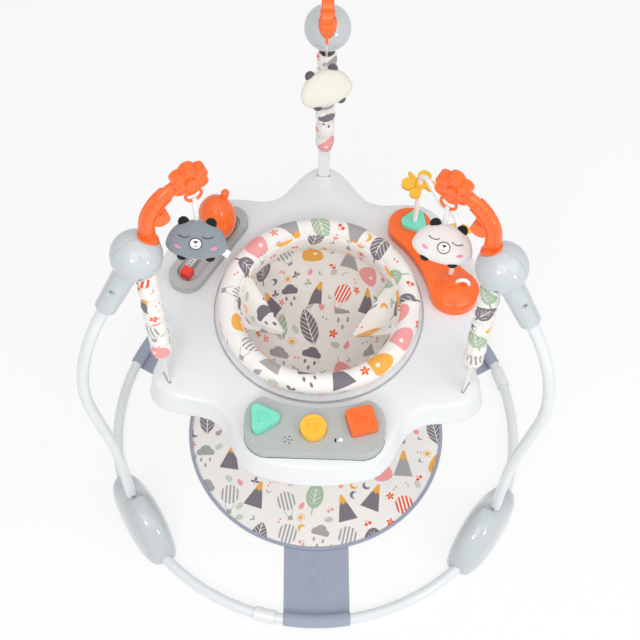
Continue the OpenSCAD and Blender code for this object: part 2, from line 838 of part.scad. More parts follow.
// Sleeve outline: narrow at both hems, gathered between them
function sleeve_out(s) =
  let (low_hem = sleeve_bore + sleeve_hem, full = low_hem + (sleeve_r - low_hem) * ease(s / 0.3) * ease((1 - s) / 0.22))
  full - gather_depth * ease(s / 0.1) * ease((1 - s) / 0.2) * pow(abs(sin(180 * sleeve_gathers * s)), 3);

module spring_sleeves() {
  length = sleeve_high - sleeve_low;
  outline = [for (k = [0 : sleeve_steps]) let (s = k / sleeve_steps) [sleeve_out(s), sleeve_low + length * s]];
  color(cloth_white) for (angle = leg_angles) rotate([0, 0, angle]) translate([hang_r, 0, 0])
    rotate_extrude() polygon(concat(outline, [[sleeve_bore, sleeve_high], [sleeve_bore, sleeve_low]]));
}

module spring_straps() {
  bar_top = tray_z + tray_lift(leg_angles[REAR], hang_r) - tray_wall - 0.6;
  color(tray_white) for (angle = leg_angles) rotate([0, 0, angle]) translate([hang_r, 0, 0]) {
    translate([-strap_t / 2, -strap_w / 2, bar_top - 2]) cube([strap_t, strap_w, strap_top - bar_top + 2]);
    translate([-strap_bar_t / 2, -strap_bar_w / 2, bar_top - strap_bar_t]) cube([strap_bar_t, strap_bar_w, strap_bar_t]);
  }
}

// Toy arms and the soft toys that hang from them

module arm_section() {
  square([arm_w - arm_t, arm_t - 0.1], center = true);
  for (x = [-1, 1]) translate([x * (arm_w - arm_t) / 2, 0]) circle(arm_t / 2);
}

module toy_arm(leg) {
  leaf_a = 20;
  leaf_r = 12;
  color(orange) at_leg(leg) {
    difference() {
      union() {
        translate([arm_x, 0, arm_low]) follow([[arm_bend_z - arm_low, 0], [arm_bend, arm_turn]]) arm_section();
        translate([dome_x, 0, dome_z]) intersection() {
          sphere(dome_r + clear + foot_flange_t);
          translate([arm_x - dome_x, 0, 0]) cylinder(r = foot_flange_r, h = dome_d);
        }
      }
      translate([dome_x, 0, dome_z]) sphere(dome_r + clear);
    }
    translate([arm_x, 0, arm_low]) cylinder(r = peg_r, h = arm_bend_z - arm_low - 6);
    translate([arm_x - arm_bend + (arm_bend - 18) * cos(leaf_a), 0, arm_bend_z + (arm_bend - 18) * sin(leaf_a)])
      rotate([90, 0, 0]) cylinder(r = leaf_r, h = arm_t + 3, center = true);
    translate([flower_x, 0, flower_z]) rotate([90, 0, 0]) {
      linear_extrude(flower_t, center = true) {
        for (i = [0 : petals - 1]) rotate(30 + i * 360 / petals) translate([petal_at, 0]) circle(petal_r);
        circle(petal_at - 2);
      }
      cylinder(r = petal_at / 2, h = flower_t + 6, center = true);
    }
    translate([loop_x, 0, loop_z]) rotate([90, 0, 0]) rotate_extrude() translate([loop_r, 0]) circle(loop_wire);
  }
}

// Outline of a soft toy's head: wide low cheeks, two ears and two feet
function toy_bump(a, at, wide) = exp(-pow((a - at) / wide, 2));
function toy_edge(a) =
  let (
    ears = 0.30 * (toy_bump(a, 54, 9) + toy_bump(a, 126, 9)),
    feet = 0.13 * (toy_bump(a, 238, 8) + toy_bump(a, 302, 8)),
    grow = 1 + ears + feet)
  [toy_w / 2 * cos(a) * (1 - 0.12 * sin(a)) * grow, toy_h / 2 * sin(a) * grow];
function toy_band(b) = [for (j = [0 : toy_sides - 1])
  let (e = toy_edge(360 * j / toy_sides) * pow(cos(b), 0.7)) [e[0], toy_t / 2 * sin(b), e[1]]];

module soft_head() {
  n = len(toy_bands);
  points = concat([for (b = toy_bands) each toy_band(b)], [[0, -toy_t / 2, 0], [0, toy_t / 2, 0]]);
  front = n * toy_sides;
  sides = [for (f = loft_faces(n, toy_sides)) if (len(f) == 3) f];
  caps = concat(
    [for (j = [0 : toy_sides - 1]) [front, (j + 1) % toy_sides, j]],
    [for (j = [0 : toy_sides - 1]) [front + 1, (n - 1) * toy_sides + j, (n - 1) * toy_sides + (j + 1) % toy_sides]]);
  polyhedron(points, concat(sides, caps));
}

module soft_toy(leg, shade) {
  eye_r = loop_wire + eye_room;
  color(shade) rotate([0, 0, leg_angles[leg]]) translate([loop_x, 0, 0]) {
    translate([0, 0, loop_low - ribbons[leg]]) rotate([0, 0, -leg_angles[leg]]) rotate([-toy_pitch, 0, 0])
      translate([0, 0, -toy_h / 2]) rotate([0, toy_tilts[leg], toy_turns[leg]]) soft_head();
    difference() {
      union() {
        translate([-ribbon_w / 2, -ribbon_t / 2, loop_low - ribbons[leg] - ribbon_sewn])
          cube([ribbon_w, ribbon_t, ribbons[leg] + ribbon_sewn - eye_r - ribbon_t / 2]);
        translate([0, 0, loop_low]) rotate([0, 90, 0]) cylinder(r = eye_r + ribbon_t, h = ribbon_w, center = true);
      }
      translate([0, 0, loop_low]) rotate([0, 90, 0]) cylinder(r = eye_r, h = 2 * ribbon_w, center = true);
    }
  }
}

// Floor mat

module floor_mat() {
  color(cloth_white) cylinder(r = mat_r, h = mat_t, $fn = 128);
}

module mat_binding() {
  color(lilac) difference() {
    cylinder(r = mat_out_r, h = mat_t + 1, $fn = 128);
    translate([0, 0, -1]) cylinder(r = mat_r + 0.1, h = mat_t + 3, $fn = 128);
  }
}

module mat_straps() {
  color(lilac) for (angle = [front_lobe_a, car_lobe_a, bead_lobe_a]) rotate([0, 0, angle + mat_turn]) {
    difference() {
      translate([0, -mat_strap_w / 2, ring_z - strap_wrap_r - mat_strap_t])
        cube([ring_r - 2, mat_strap_w, mat_strap_t]);
      translate([0, 0, -1]) cylinder(r = mat_out_r + 0.1, h = ring_z, $fn = 128);
      translate([0, 0, ring_z]) rotate([0, 0, -20]) rotate_extrude(angle = 40, $fn = 128)
        translate([ring_r, 0]) circle(strap_wrap_r + 0.01);
    }
    translate([0, 0, ring_z]) rotate([0, 0, -mat_strap_a / 2]) rotate_extrude(angle = mat_strap_a, $fn = 128)
      translate([ring_r, 0]) pipe_section(strap_wrap_r + mat_strap_t, mat_strap_t);
  }
}

// Tray

// Angle from the nearest strap corner, 0 to 60
function from_corner(a) = abs((a + 330) % 120 - 60);
function tray_edge(a) = let (p = from_corner(a))
  waist_r + lobe_reach * ease((p - lobe_from) / (lobe_to - lobe_from)) + corner_reach * (1 - ease(p / corner_to));
function tray_lift(a, r) = corner_rise * (1 - ease(from_corner(a) / corner_to)) * ease((r - tray_in_r - 10) / 60);
function tray_point(a, r, z) = [r * cos(a), r * sin(a), z + (z > skirt_z ? tray_lift(a, r) : 0)];
// The skin's section at one angle: over the top, down the skirt, and back inside
function tray_section(a) = let (e = tray_edge(a), w = tray_wall, flat = e - edge_round) [
  tray_point(a, tray_in_r, tray_z),
  tray_point(a, (tray_in_r + flat) / 2, tray_z),
  tray_point(a, flat, tray_z),
  tray_point(a, e - 0.3 * edge_round, tray_z - 0.3 * edge_round),
  tray_point(a, e, tray_z - edge_round),
  tray_point(a, e + skirt_flare, skirt_z),
  tray_point(a, e + skirt_flare - w, skirt_z),
  tray_point(a, e - w, tray_z - edge_round),
  tray_point(a, e - 0.3 * edge_round - 0.8 * w, tray_z - 0.3 * edge_round - 0.8 * w),
  tray_point(a, flat, tray_z - w),
  tray_point(a, (tray_in_r + flat) / 2, tray_z - w),
  tray_point(a, tray_in_r, tray_z - w)
];

module tray_skin() {
  sections = [for (k = [0 : tray_steps - 1]) tray_section(360 * k / tray_steps)];
  m = len(sections[0]);
  n = tray_steps;
  polyhedron([for (section = sections) each section], concat(
    [for (k = [0 : n - 1], j = [0 : m - 1]) let (q = (k + 1) % n) [k * m + j, q * m + j, q * m + (j + 1) % m]],
    [for (k = [0 : n - 1], j = [0 : m - 1]) let (q = (k + 1) % n) [k * m + j, q * m + (j + 1) % m, k * m + (j + 1) % m]]));
}

module tray_top() {
  color(tray_white) difference() {
    tray_skin();
    for (angle = leg_angles) rotate([0, 0, angle]) translate([hang_r, 0, tray_z]) cube([slot_t, slot_w, 40], center = true);
  }
}

module tray_underside() {
  color(tray_white) difference() {
    translate([0, 0, skirt_z]) linear_extrude(under_t)
      polygon([for (k = [0 : tray_steps - 1]) let (a = 360 * k / tray_steps, r = tray_edge(a) + skirt_flare - under_gap)
        [r * cos(a), r * sin(a)]]);
    translate([0, 0, skirt_z - 1]) cylinder(r = retainer_r + 4, h = 3 * under_t, $fn = 128);
    for (angle = leg_angles) rotate([0, 0, angle]) translate([hang_r, 0, skirt_z])
      cube([strap_bar_t + 4, strap_bar_w + 4, 40], center = true);
  }
}

module at_tray_screws() {
  for (i = [0 : tray_screw_count - 1]) rotate([0, 0, 360 * (i + 0.5) / tray_screw_count])
    translate([tray_screw_r, 0, 0]) children();
}

module tray_screws() {
  color(steel) at_tray_screws() translate([0, 0, tray_z - tray_wall - 4.4]) rotate([180, 0, 0]) {
    cylinder(r = screw_head_r, h = 2);
    translate([0, 0, -4.2]) cylinder(r = screw_r, h = 4.2);
  }
}

module seat_track() {
  flange_top = tray_z - tray_wall - fit;
  color(tray_white) difference() {
    rotate_extrude($fn = 128) {
      translate([track_r, track_low]) square([track_wall, tray_z - track_low]);
      translate([track_r, flange_top - track_wall]) square([track_flange_r - track_r, track_wall]);
    }
    at_tray_screws() cylinder(r = screw_r + 0.1, h = 2 * tray_z);
  }
}

// Swivel seat

module seat_ring() {
  color(tray_white) rotate_extrude($fn = 128) {
    translate([seat_wall_r - seat_wall_t, seat_low]) square([seat_wall_t, seat_flange_z + seat_flange_t - seat_low]);
    translate([seat_wall_r - seat_wall_t, seat_flange_z]) square([rim_r + 2 - seat_wall_r + seat_wall_t, seat_flange_t]);
  }
}

module seat_retainer() {
  color(tray_white) rotate_extrude($fn = 128)
    translate([seat_wall_r + fit, track_low - clear - retainer_t]) square([retainer_r - seat_wall_r - fit, retainer_t]);
}

module seat_rim_pad() {
  color(cloth_white) rotate_extrude($fn = 128) intersection() {
    translate([rim_mid_r, rim_base + rim_pad_r - 3]) circle(rim_pad_r);
    translate([0, rim_base]) square([2 * rim_r, 4 * rim_pad_r]);
  }
}

// Outline of the seat's bucket, from the rim down to the middle
sling_shape = [[1, 1], [0.99, 0.8], [0.93, 0.53], [0.76, 0.26], [0.47, 0.06], [0, 0]];
function sling_points(inset) = [for (p = sling_shape)
  [max(0, p[0] * sling_top_r - inset), sling_low + inset + p[1] * (rim_base - fit - sling_low - inset)]];

module seat_sling() {
  color(cloth_white) difference() {
    rotate_extrude($fn = 128) difference() {
      polygon(concat(sling_points(0), [[0, rim_base - fit]]));
      polygon(concat(sling_points(seat_cloth), [[0, rim_base - fit]]));
    }
    for (side = [-1, 1]) rotate([0, 0, front_lobe_a + side * leg_hole_a]) translate([0, 0, leg_hole_z])
      rotate([0, 90 + leg_hole_tilt, 0]) translate([0, 0, leg_hole_from]) cylinder(r = leg_hole_r, h = 2 * sling_top_r);
  }
}

// Sound panel

module panel_outline(inset) {
  difference() {
    translate([0, panel_mid_y]) round_rect(panel_w - 2 * inset, panel_d - 2 * inset, panel_corner - inset);
    circle(panel_hollow_r + inset, $fn = 128);
  }
}

module triangle_outline(grow) {
  translate(triangle_at) rotate([0, 0, triangle_turn]) round_outline(3, triangle_reach, triangle_corner + grow);
}

module round_button_outline(grow) {
  translate(round_at) circle(round_r + grow);
}

module square_outline(grow) {
  translate(square_at) rotate([0, 0, square_turn]) round_outline(4, square_reach, square_corner + grow);
}

module panel_case() {
  color(panel_grey) difference() {
    union() {
      difference() {
        translate([0, 0, panel_z]) linear_extrude(panel_h) panel_outline(0);
        translate([0, 0, panel_z - 1]) linear_extrude(panel_h + 1 - panel_wall) panel_outline(panel_wall);
      }
      for (x = [-1, 1], y = [-1, 1]) translate([board_at[0] + x * (board_size[0] / 2 - 4.5), board_at[1] + y * (board_size[1] / 2 - 4),
        board_z + board_t]) cylinder(r = 2.5, h = panel_in_top - board_z - board_t + 1);
    }
    translate([0, 0, panel_in_top - 1]) linear_extrude(panel_wall + 2) {
      triangle_outline(clear);
      round_button_outline(clear);
      square_outline(clear);
      translate(switch_at + [-switch_travel / 2, 0]) square([7 + switch_travel + 2 * clear, 6 + 2 * clear], center = true);
    }
    for (i = [0 : 5]) translate([speaker_at[0] + (i > 0 ? 6 * cos(72 * i) : 0), speaker_at[1] + (i > 0 ? 6 * sin(72 * i) : 0), panel_in_top - 1])
      cylinder(r = 1.2, h = panel_wall + 2);
  }
}

module panel_base() {
  color(panel_grey) difference() {
    translate([0, 0, panel_z]) linear_extrude(2.5) panel_outline(panel_wall + fit);
    translate([door_at[0], door_at[1], panel_z]) cube([door_size[0] + 2 * fit, door_size[1] + 2 * fit, 20], center = true);
  }
}

module battery_door() {
  color(panel_grey) translate([door_at[0] - door_size[0] / 2, door_at[1] - door_size[1] / 2, panel_z])
    cube([door_size[0], door_size[1], 2.5]);
}

module circuit_board() {
  color("#2F7D4F") translate([board_at[0] - board_size[0] / 2, board_at[1] - board_size[1] / 2, board_z])
    cube([board_size[0], board_size[1], board_t]);
}

module speaker() {
  color(dark) translate([speaker_at[0], speaker_at[1], panel_in_top - fit - 8]) cylinder(r = speaker_r - 4, h = 8);
}

// A button: its cap stands through the panel, its flange stops under the panel's skin
module button_body() {
  translate([0, 0, panel_in_top - clear - button_flange]) linear_extrude(button_flange) children(1);
  translate([0, 0, panel_in_top - clear - 0.5]) linear_extrude(panel_wall + clear + 0.5 + button_h) children(0);
}

module button_triangle() {
  color(mint) button_body() {
    triangle_outline(0);
    triangle_outline(1.8);
  }
}

module button_round() {
  color(yellow) button_body() {
    round_button_outline(0);
    round_button_outline(1.8);
  }
}

module button_square() {
  color(orange) button_body() {
    square_outline(0);
    square_outline(1.8);
  }
}

module power_switch() {
  color("white") translate([switch_at[0], switch_at[1], panel_in_top - clear]) {
    translate([-7 - switch_travel / 2 + 3, -5, -1.6]) cube([14 + switch_travel - 6, 10, 1.6]);
    translate([-3.5, -3, -0.5]) cube([7, 6, panel_wall + clear + 0.5 + 3]);
  }
}

// Car on its track

module capsule(l, w) {
  square([w - 0.1, l - w], center = true);
  for (s = [-1, 1]) translate([0, s * (l - w) / 2]) circle(w / 2);
}

module car_track() {
  color(panel_grey) at_lobe(car_lobe_a) translate([lobe_mid_r, 0, 0]) difference() {
    translate([0, 0, tray_z + seat_on]) linear_extrude(channel_floor - tray_z - seat_on)
      capsule(car_track_l, car_track_w);
    translate([0, 0, tray_z]) linear_extrude(channel_floor - floor_t - tray_z)
      capsule(channel_l - 2 * keel_foot_room, keel_foot_w + 2 * keel_foot_room);
    translate([0, 0, tray_z]) linear_extrude(car_track_h) capsule(channel_l - 2 * slot_end, keel_w + 2 * clear);
  }
}

// Wall round the channel, on top of the track
module track_rim() {
  color(panel_grey) at_lobe(car_lobe_a) translate([lobe_mid_r, 0, channel_floor + fit])
    linear_extrude(channel_depth - fit) difference() {
      capsule(car_track_l, car_track_w);
      capsule(channel_l, channel_w);
    }
}

module track_stop() {
  color("#F03A2E") at_lobe(car_lobe_a) translate([lobe_mid_r, stop_y, channel_floor + 0.1]) {
    translate([-stop_size[0] / 2, -stop_size[1] / 2, 0]) cube(stop_size);
  }
}

module at_car() {
  at_lobe(car_lobe_a) translate([lobe_mid_r, -car_at, 0]) children();
}

// Egg-shaped upper body of the car
function egg_point(k) =
  let (
    a = -50 + 140 * k / car_egg_steps,
    mid = car_low + 0.42 * car_h,
    tall = a < 0 ? 0.42 * car_h / sin(50) : 0.58 * car_h)
  [k == car_egg_steps ? 0 : car_r * cos(a), mid + tall * sin(a)];

module car_body() {
  color(orange) at_car() difference() {
    union() {
      translate([-chassis_w / 2, -chassis_l / 2, chassis_z]) cube([chassis_w, chassis_l, car_low + 8 - chassis_z]);
      rotate_extrude() polygon(concat([for (k = [0 : car_egg_steps]) egg_point(k)], [[0, car_low]]));
      translate([tail_at[0], tail_at[1], car_low + tail_up * car_h]) rotate([tail_tilt, 0, 0]) {
        cylinder(r = tail_r, h = tail_l);
        translate([0, 0, tail_l]) sphere(tail_r);
      }
      translate([-keel_w / 2, -keel_l / 2, channel_floor - floor_t - 2])
        cube([keel_w, keel_l, chassis_z - channel_floor + floor_t + 4]);
      translate([-keel_foot_w / 2, -keel_l / 2, channel_floor - floor_t - 0.5 - keel_foot_t])
        cube([keel_foot_w, keel_l, keel_foot_t]);
    }
    for (y = [-axle_y, axle_y]) translate([0, y, axle_z]) rotate([0, 90, 0]) {
      cylinder(r = axle_r + 0.08, h = 4 * car_r, center = true);
      for (s = [-1, 1]) translate([0, 0, s * (chassis_w / 2 + fit + car_r)])
        cylinder(r = wheel_r + wheel_room, h = 2 * car_r, center = true);
    }
  }
}

module car_wheels(y) {
  color(dark) at_car() translate([0, y, axle_z]) rotate([0, 90, 0]) {
    cylinder(r = axle_r, h = 2 * wheel_x + 0.2, center = true);
    for (s = [-1, 1]) translate([0, 0, s * (wheel_x + wheel_w / 2)]) cylinder(r = wheel_r, h = wheel_w, center = true);
  }
}

module car_wheels_front() {
  car_wheels(axle_y);
}

module car_wheels_rear() {
  car_wheels(-axle_y);
}

// Bead toy

module at_bead() {
  at_lobe(bead_lobe_a) translate([lobe_mid_r, 0, 0]) children();
}

module bead_base() {
  low = tray_z + seat_on;
  color(orange) at_bead() difference() {
    union() {
      translate([bead_x, 0, low]) linear_extrude(bead_h) {
        translate([0, bead_rear_y]) circle(bead_rear_r);
        translate([0, bead_front_y]) circle(bead_front_r);
        difference() {
          translate([-bead_rear_r, bead_front_y]) square([2 * bead_rear_r, bead_span]);
          for (x = [-1, 1]) translate([x * bead_side_x, bead_side_y]) circle(bead_side_r, $fn = 256);
        }
      }
      translate([bead_x, bead_front_y, bead_top - 0.01]) intersection() {
        cylinder(r = bead_front_r - 6, h = bead_dome);
        translate([0, 0, bead_dome - 70]) sphere(70);
      }
    }
    translate([bar_x, bar_y, bar_foot]) cylinder(r = bar_r + 0.1, h = 2 * bead_h);
    translate([bar_x, bar_y - bar_span, bar_foot]) cylinder(r = bar_r + 0.1, h = 2 * bead_h);
  }
}

module bead_plinth() {
  color(mint) at_bead() translate([bar_x, bar_y, bead_top + 0.1]) difference() {
    linear_extrude(plinth_h) rotate([0, 0, 40]) round_outline(3, 12, 12);
    translate([0, 0, -1]) cylinder(r = bar_r + 0.1, h = 2 * plinth_h);
  }
}

module bead_bar() {
  path = [[bar_up, 0], [bar_bend, bar_turns[0]], [bar_slope, 0], [bar_bend, bar_turns[1]], [bar_climb, 0],
    [bar_bend, bar_turns[2]], [bar_up + bar_drop - 0.1, 0]];
  color("white") at_bead() {
    translate([bar_x, bar_y, bar_foot]) rotate([0, 0, 90]) bent_bar(path, bar_r, 12);
    for (y = [bar_y, bar_y - bar_span]) translate([bar_x, y, spinner_z - collar_h - clear])
      cylinder(r = bar_r + 2.5, h = collar_h, $fn = 24);
  }
}

module butterfly() {
  wings = [[35, 1], [145, 1], [215, 0.8], [325, 0.8]];
  color(yellow) at_bead() translate([bar_x, bar_y, spinner_z]) difference() {
    union() {
      cylinder(r = spinner_hub_r, h = spinner_t + 3);
      for (wing = wings) rotate([0, 0, wing[0]]) {
        translate([wing_reach - 12, 0, 0]) cylinder(r = 12 * wing[1], h = spinner_t);
        translate([0, -5, 0]) cube([wing_reach - 12, 10, spinner_t]);
      }
    }
    translate([0, 0, -1]) cylinder(r = bar_r + 0.1, h = 3 * spinner_t);
  }
}

module rainbow() {
  color(yellow) at_bead() translate([bar_x, bar_y - bar_span, spinner_z]) difference() {
    union() {
      cylinder(r = spinner_hub_r, h = spinner_t + 3);
      intersection() {
        cylinder(r = rainbow_r, h = spinner_t);
        translate([-rainbow_r, 0, -1]) cube([2 * rainbow_r, rainbow_r, 2 * spinner_t]);
      }
    }
    translate([0, 0, -1]) cylinder(r = bar_r + 0.1, h = 3 * spinner_t);
  }
}

base_tubes_long();
base_tubes_short();
base_couplers();
foot_pod(REAR);  // foot_pod_rear
foot_pod(LEFT);  // foot_pod_left
foot_pod(RIGHT);  // foot_pod_right
foot_covers();
foot_pads();
pole(REAR);  // pole_rear
pole(LEFT);  // pole_left
pole(RIGHT);  // pole_right
snap_button(REAR);  // snap_button_rear
snap_button(LEFT);  // snap_button_left
snap_button(RIGHT);  // snap_button_right
dome_shell(REAR);  // dome_shell_rear
dome_shell(LEFT);  // dome_shell_left
dome_shell(RIGHT);  // dome_shell_right
dome_covers();
frame_screws();
spring_pins();
springs();
spring_sleeves();
spring_straps();
toy_arm(REAR);  // toy_arm_rear
toy_arm(LEFT);  // toy_arm_left
toy_arm(RIGHT);  // toy_arm_right
soft_toy(REAR, "#E7E6DA");  // soft_toy_rear
soft_toy(LEFT, "#8B959B");  // soft_toy_left
soft_toy(RIGHT, "#E5E2DF");  // soft_toy_right
floor_mat();
mat_binding();
mat_straps();
tray_top();
tray_underside();
tray_screws();
seat_track();
seat_ring();
seat_retainer();
seat_rim_pad();
seat_sling();
panel_case();
panel_base();
battery_door();
circuit_board();
speaker();
button_triangle();
button_round();
button_square();
power_switch();
car_track();
track_rim();
track_stop();
car_body();
car_wheels_front();
car_wheels_rear();
bead_base();
bead_plinth();
bead_bar();
butterfly();
rainbow();
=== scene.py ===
"""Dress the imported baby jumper: finishes for its solids, and its cloth, plush, springs and trim as meshes.

Objects are in metres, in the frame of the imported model: +Z up, origin on the floor in the middle of the ring.
Sizes in the classes are in millimetres and angles in degrees, unless a name says otherwise.
"""

import ast
import logging
import math
from dataclasses import dataclass, field
from enum import Enum
from typing import Callable, Sequence

import bmesh
import bpy
import numpy as np
from mathutils import Matrix, Vector
from mathutils.bvhtree import BVHTree


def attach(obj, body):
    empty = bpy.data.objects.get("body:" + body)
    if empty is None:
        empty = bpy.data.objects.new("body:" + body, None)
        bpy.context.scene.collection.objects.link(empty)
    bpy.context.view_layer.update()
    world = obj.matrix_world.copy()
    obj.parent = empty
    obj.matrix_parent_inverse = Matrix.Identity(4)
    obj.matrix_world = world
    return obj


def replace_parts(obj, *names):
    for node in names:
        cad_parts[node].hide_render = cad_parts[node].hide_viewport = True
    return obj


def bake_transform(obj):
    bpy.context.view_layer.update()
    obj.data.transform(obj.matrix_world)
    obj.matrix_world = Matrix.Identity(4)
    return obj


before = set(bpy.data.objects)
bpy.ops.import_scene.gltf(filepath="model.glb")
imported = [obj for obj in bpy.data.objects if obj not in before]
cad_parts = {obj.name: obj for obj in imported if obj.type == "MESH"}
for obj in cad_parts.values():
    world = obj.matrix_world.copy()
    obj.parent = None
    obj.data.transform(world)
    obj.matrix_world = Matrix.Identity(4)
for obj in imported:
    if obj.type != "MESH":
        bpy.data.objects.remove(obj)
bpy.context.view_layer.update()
MM = 0.001
CLOTH_MAP = "cloth"
FILL_STEPS = 20
log = logging.getLogger("jumper")

Tree = bpy.types.NodeTree
Socket = bpy.types.NodeSocket
Piece = bpy.types.Object
Spot = Callable[[int, int, int], tuple[float, float]]


class Leg(Enum):
    """The three legs, with their angle round the ring."""

    REAR = 90.0
    LEFT = 210.0
    RIGHT = 330.0

    @property
    def label(self) -> str:
        """Name of the leg as the nodes write it."""
        return self.name.lower()

    @property
    def place(self) -> Matrix:
        """Matrix from the leg's own frame, X outwards, to the model's frame."""
        return Matrix.Rotation(math.radians(self.value), 4, "Z")

    def point(self, r: float, z: float) -> Vector:
        """Point on the leg's plane, in metres.

        Args:
            r: distance from the ring's axis.
            z: height above the floor.

        Returns:
            The point in the model's frame.
        """
        return self.place @ Vector((r * MM, 0, z * MM))


class Ink(Enum):
    """Colours of the printed cloth."""

    CREAM = "#F3F0EC"
    TOMATO = "#F0522B"
    AMBER = "#F5B04C"
    SAGE = "#A9BFA3"
    ROSE = "#F2A3A3"
    ASH = "#A9A6A8"
    SLATE = "#7C757E"


def linear(colour: str) -> tuple[float, float, float, float]:
    """Turn an sRGB hex colour into linear light.

    Args:
        colour: six hex digits after a hash mark.

    Returns:
        Red, green, blue and an alpha of 1.
    """
    parts = [int(colour[i:i + 2], 16) / 255 for i in (1, 3, 5)]
    red, green, blue = (p / 12.92 if p <= 0.04045 else ((p + 0.055) / 1.055) ** 2.4 for p in parts)
    return red, green, blue, 1.0


def add(tree: Tree, kind: str, settings: dict | None = None, links: dict | None = None) -> bpy.types.Node:
    """Add a node to a tree.

    Args:
        tree: the node tree.
        kind: the node's type.
        settings: properties by lower-case name, and socket values by number or capitalised name.
        links: sockets to link from, by the input's number or name.

    Returns:
        The new node.
    """
    node = tree.nodes.new(kind)
    for key, value in (settings or {}).items():
        if isinstance(key, int) or key[0].isupper():
            node.inputs[key].default_value = value
        else:
            setattr(node, key, value)
    for key, source in (links or {}).items():
        tree.links.new(source, node.inputs[key])
    return node


SIGNS = {ast.Add: "ADD", ast.Sub: "SUBTRACT", ast.Mult: "MULTIPLY", ast.Div: "DIVIDE"}
CALLS = {
    "abs": "ABSOLUTE", "min": "MINIMUM", "max": "MAXIMUM", "sin": "SINE", "cos": "COSINE", "sqrt": "SQRT",
    "turn": "ARCTAN2", "cycle": "FRACT", "below": "LESS_THAN", "above": "GREATER_THAN", "floor": "FLOOR",
}


def formula(tree: Tree, text: str, known: dict) -> Socket:
    """Lay out a written formula as nodes.

    Args:
        tree: the node tree.
        text: the formula, with + - * /, the names in CALLS, and far(x, y) for the distance from the middle.
        known: sockets and numbers by the names that the formula uses.

    Returns:
        The socket that holds the result.
    """

    def place(kind: str, values: Sequence, extra: dict) -> bpy.types.Node:
        """Add one node with numbers as settings and sockets as links."""
        numbers = {i: v for i, v in enumerate(values) if isinstance(v, float)}
        sockets = {i: v for i, v in enumerate(values) if not isinstance(v, float)}
        return add(tree, kind, {**extra, **numbers}, sockets)

    def build(part: ast.expr) -> Socket | float:
        """Lay out one part of the formula."""
        if isinstance(part, ast.Constant):
            return float(part.value)
        if isinstance(part, ast.Name):
            return known[part.id]
        if isinstance(part, ast.UnaryOp):
            return place("ShaderNodeMath", [0.0, build(part.operand)], {"operation": "SUBTRACT"}).outputs[0]
        if isinstance(part, ast.BinOp):
            values = [build(part.left), build(part.right)]
            return place("ShaderNodeMath", values, {"operation": SIGNS[type(part.op)]}).outputs[0]
        values = [build(a) for a in part.args]
        if part.func.id == "far":
            joined = place("ShaderNodeCombineXYZ", values, {})
            length = add(tree, "ShaderNodeVectorMath", {"operation": "LENGTH"}, {0: joined.outputs[0]})
            return length.outputs["Value"]
        return place("ShaderNodeMath", values, {"operation": CALLS[part.func.id]}).outputs[0]

    return build(ast.parse(text).body[0].value)


@dataclass(frozen=True)
class Finish:
    """A surface: a common material, and how it was made.

    Fields:
        name: the material's name.
        colour: sRGB hex colour.
        roughness: mean roughness.
        ior, metallic, coat, sheen: the shader's own values.
        grain_mm: width of the fine relief.
        relief_mm: height of that relief.
        mottle: how far the colour wanders, as a share.
        edge_mm: radius that edges look rounded to.
        patch_mm: width of the patches in which the colour wanders.
        wear_mm: width of the patches in which the roughness wanders.
        wear: how far the roughness wanders, as a share.
    """

    name: str
    colour: str
    roughness: float
    ior: float = 1.5
    metallic: float = 0.0
    coat: float = 0.0
    sheen: float = 0.0
    grain_mm: float = 2.0
    relief_mm: float = 0.02
    mottle: float = 0.03
    edge_mm: float = 0.0
    patch_mm: float = 45.0
    wear_mm: float = 18.0
    wear: float = 0.12

    def spread(self, tree: Tree, size_mm: float) -> Socket:
        """Soft noise in the piece's own space.

        Args:
            tree: the material's node tree.
            size_mm: width of the noise's patches.

        Returns:
            A value from 0 to 1.
        """
        where = add(tree, "ShaderNodeTexCoord")
        settings = {"Scale": 1 / (size_mm * MM), "Detail": 3.0}
        return add(tree, "ShaderNodeTexNoise", settings, {"Vector": where.outputs["Object"]}).outputs[0]

    def shade(self, tree: Tree) -> Socket:
        """Lay out the colour, which wanders a little over the piece."""
        base = linear(self.colour)
        dark, light = (tuple(min(1.0, c * (1 + s * self.mottle)) for c in base[:3]) + (1.0,) for s in (-1, 1))
        links = {0: self.spread(tree, self.patch_mm)}
        return add(tree, "ShaderNodeMix", {"data_type": "RGBA", 6: dark, 7: light}, links).outputs[2]

    def height(self, tree: Tree) -> Socket:
        """Lay out the fine relief as a height from 0 to 1."""
        return self.spread(tree, self.grain_mm)

    def material(self) -> bpy.types.Material:
        """Make the material, or find it if it is made.

        Returns:
            The material.
        """
        found = bpy.data.materials.get(self.name)
        if found:
            return found
        made = bpy.data.materials.new(self.name)
        made.use_nodes = True
        made.diffuse_color = linear(self.colour)
        tree = made.node_tree
        surface = tree.nodes["Principled BSDF"]
        fixed = {"Metallic": self.metallic, "IOR": self.ior, "Coat Weight": self.coat,
                 "Sheen Weight": self.sheen, "Sheen Roughness": 0.5}
        for socket, value in fixed.items():
            surface.inputs[socket].default_value = value
        tree.links.new(self.shade(tree), surface.inputs["Base Color"])
        limits = {"To Min": self.roughness * (1 - self.wear), "To Max": self.roughness * (1 + self.wear)}
        rough = add(tree, "ShaderNodeMapRange", limits, {0: self.spread(tree, self.wear_mm)})
        tree.links.new(rough.outputs[0], surface.inputs["Roughness"])
        links = {"Height": self.height(tree)}
        if self.edge_mm:
            rounded = {"samples": 4, "Radius": self.edge_mm * MM}
            links["Normal"] = add(tree, "ShaderNodeBevel", rounded).outputs[0]
        bump = add(tree, "ShaderNodeBump", {"Strength": 1.0, "Distance": self.relief_mm * MM}, links)
        tree.links.new(bump.outputs[0], surface.inputs["Normal"])
        return made


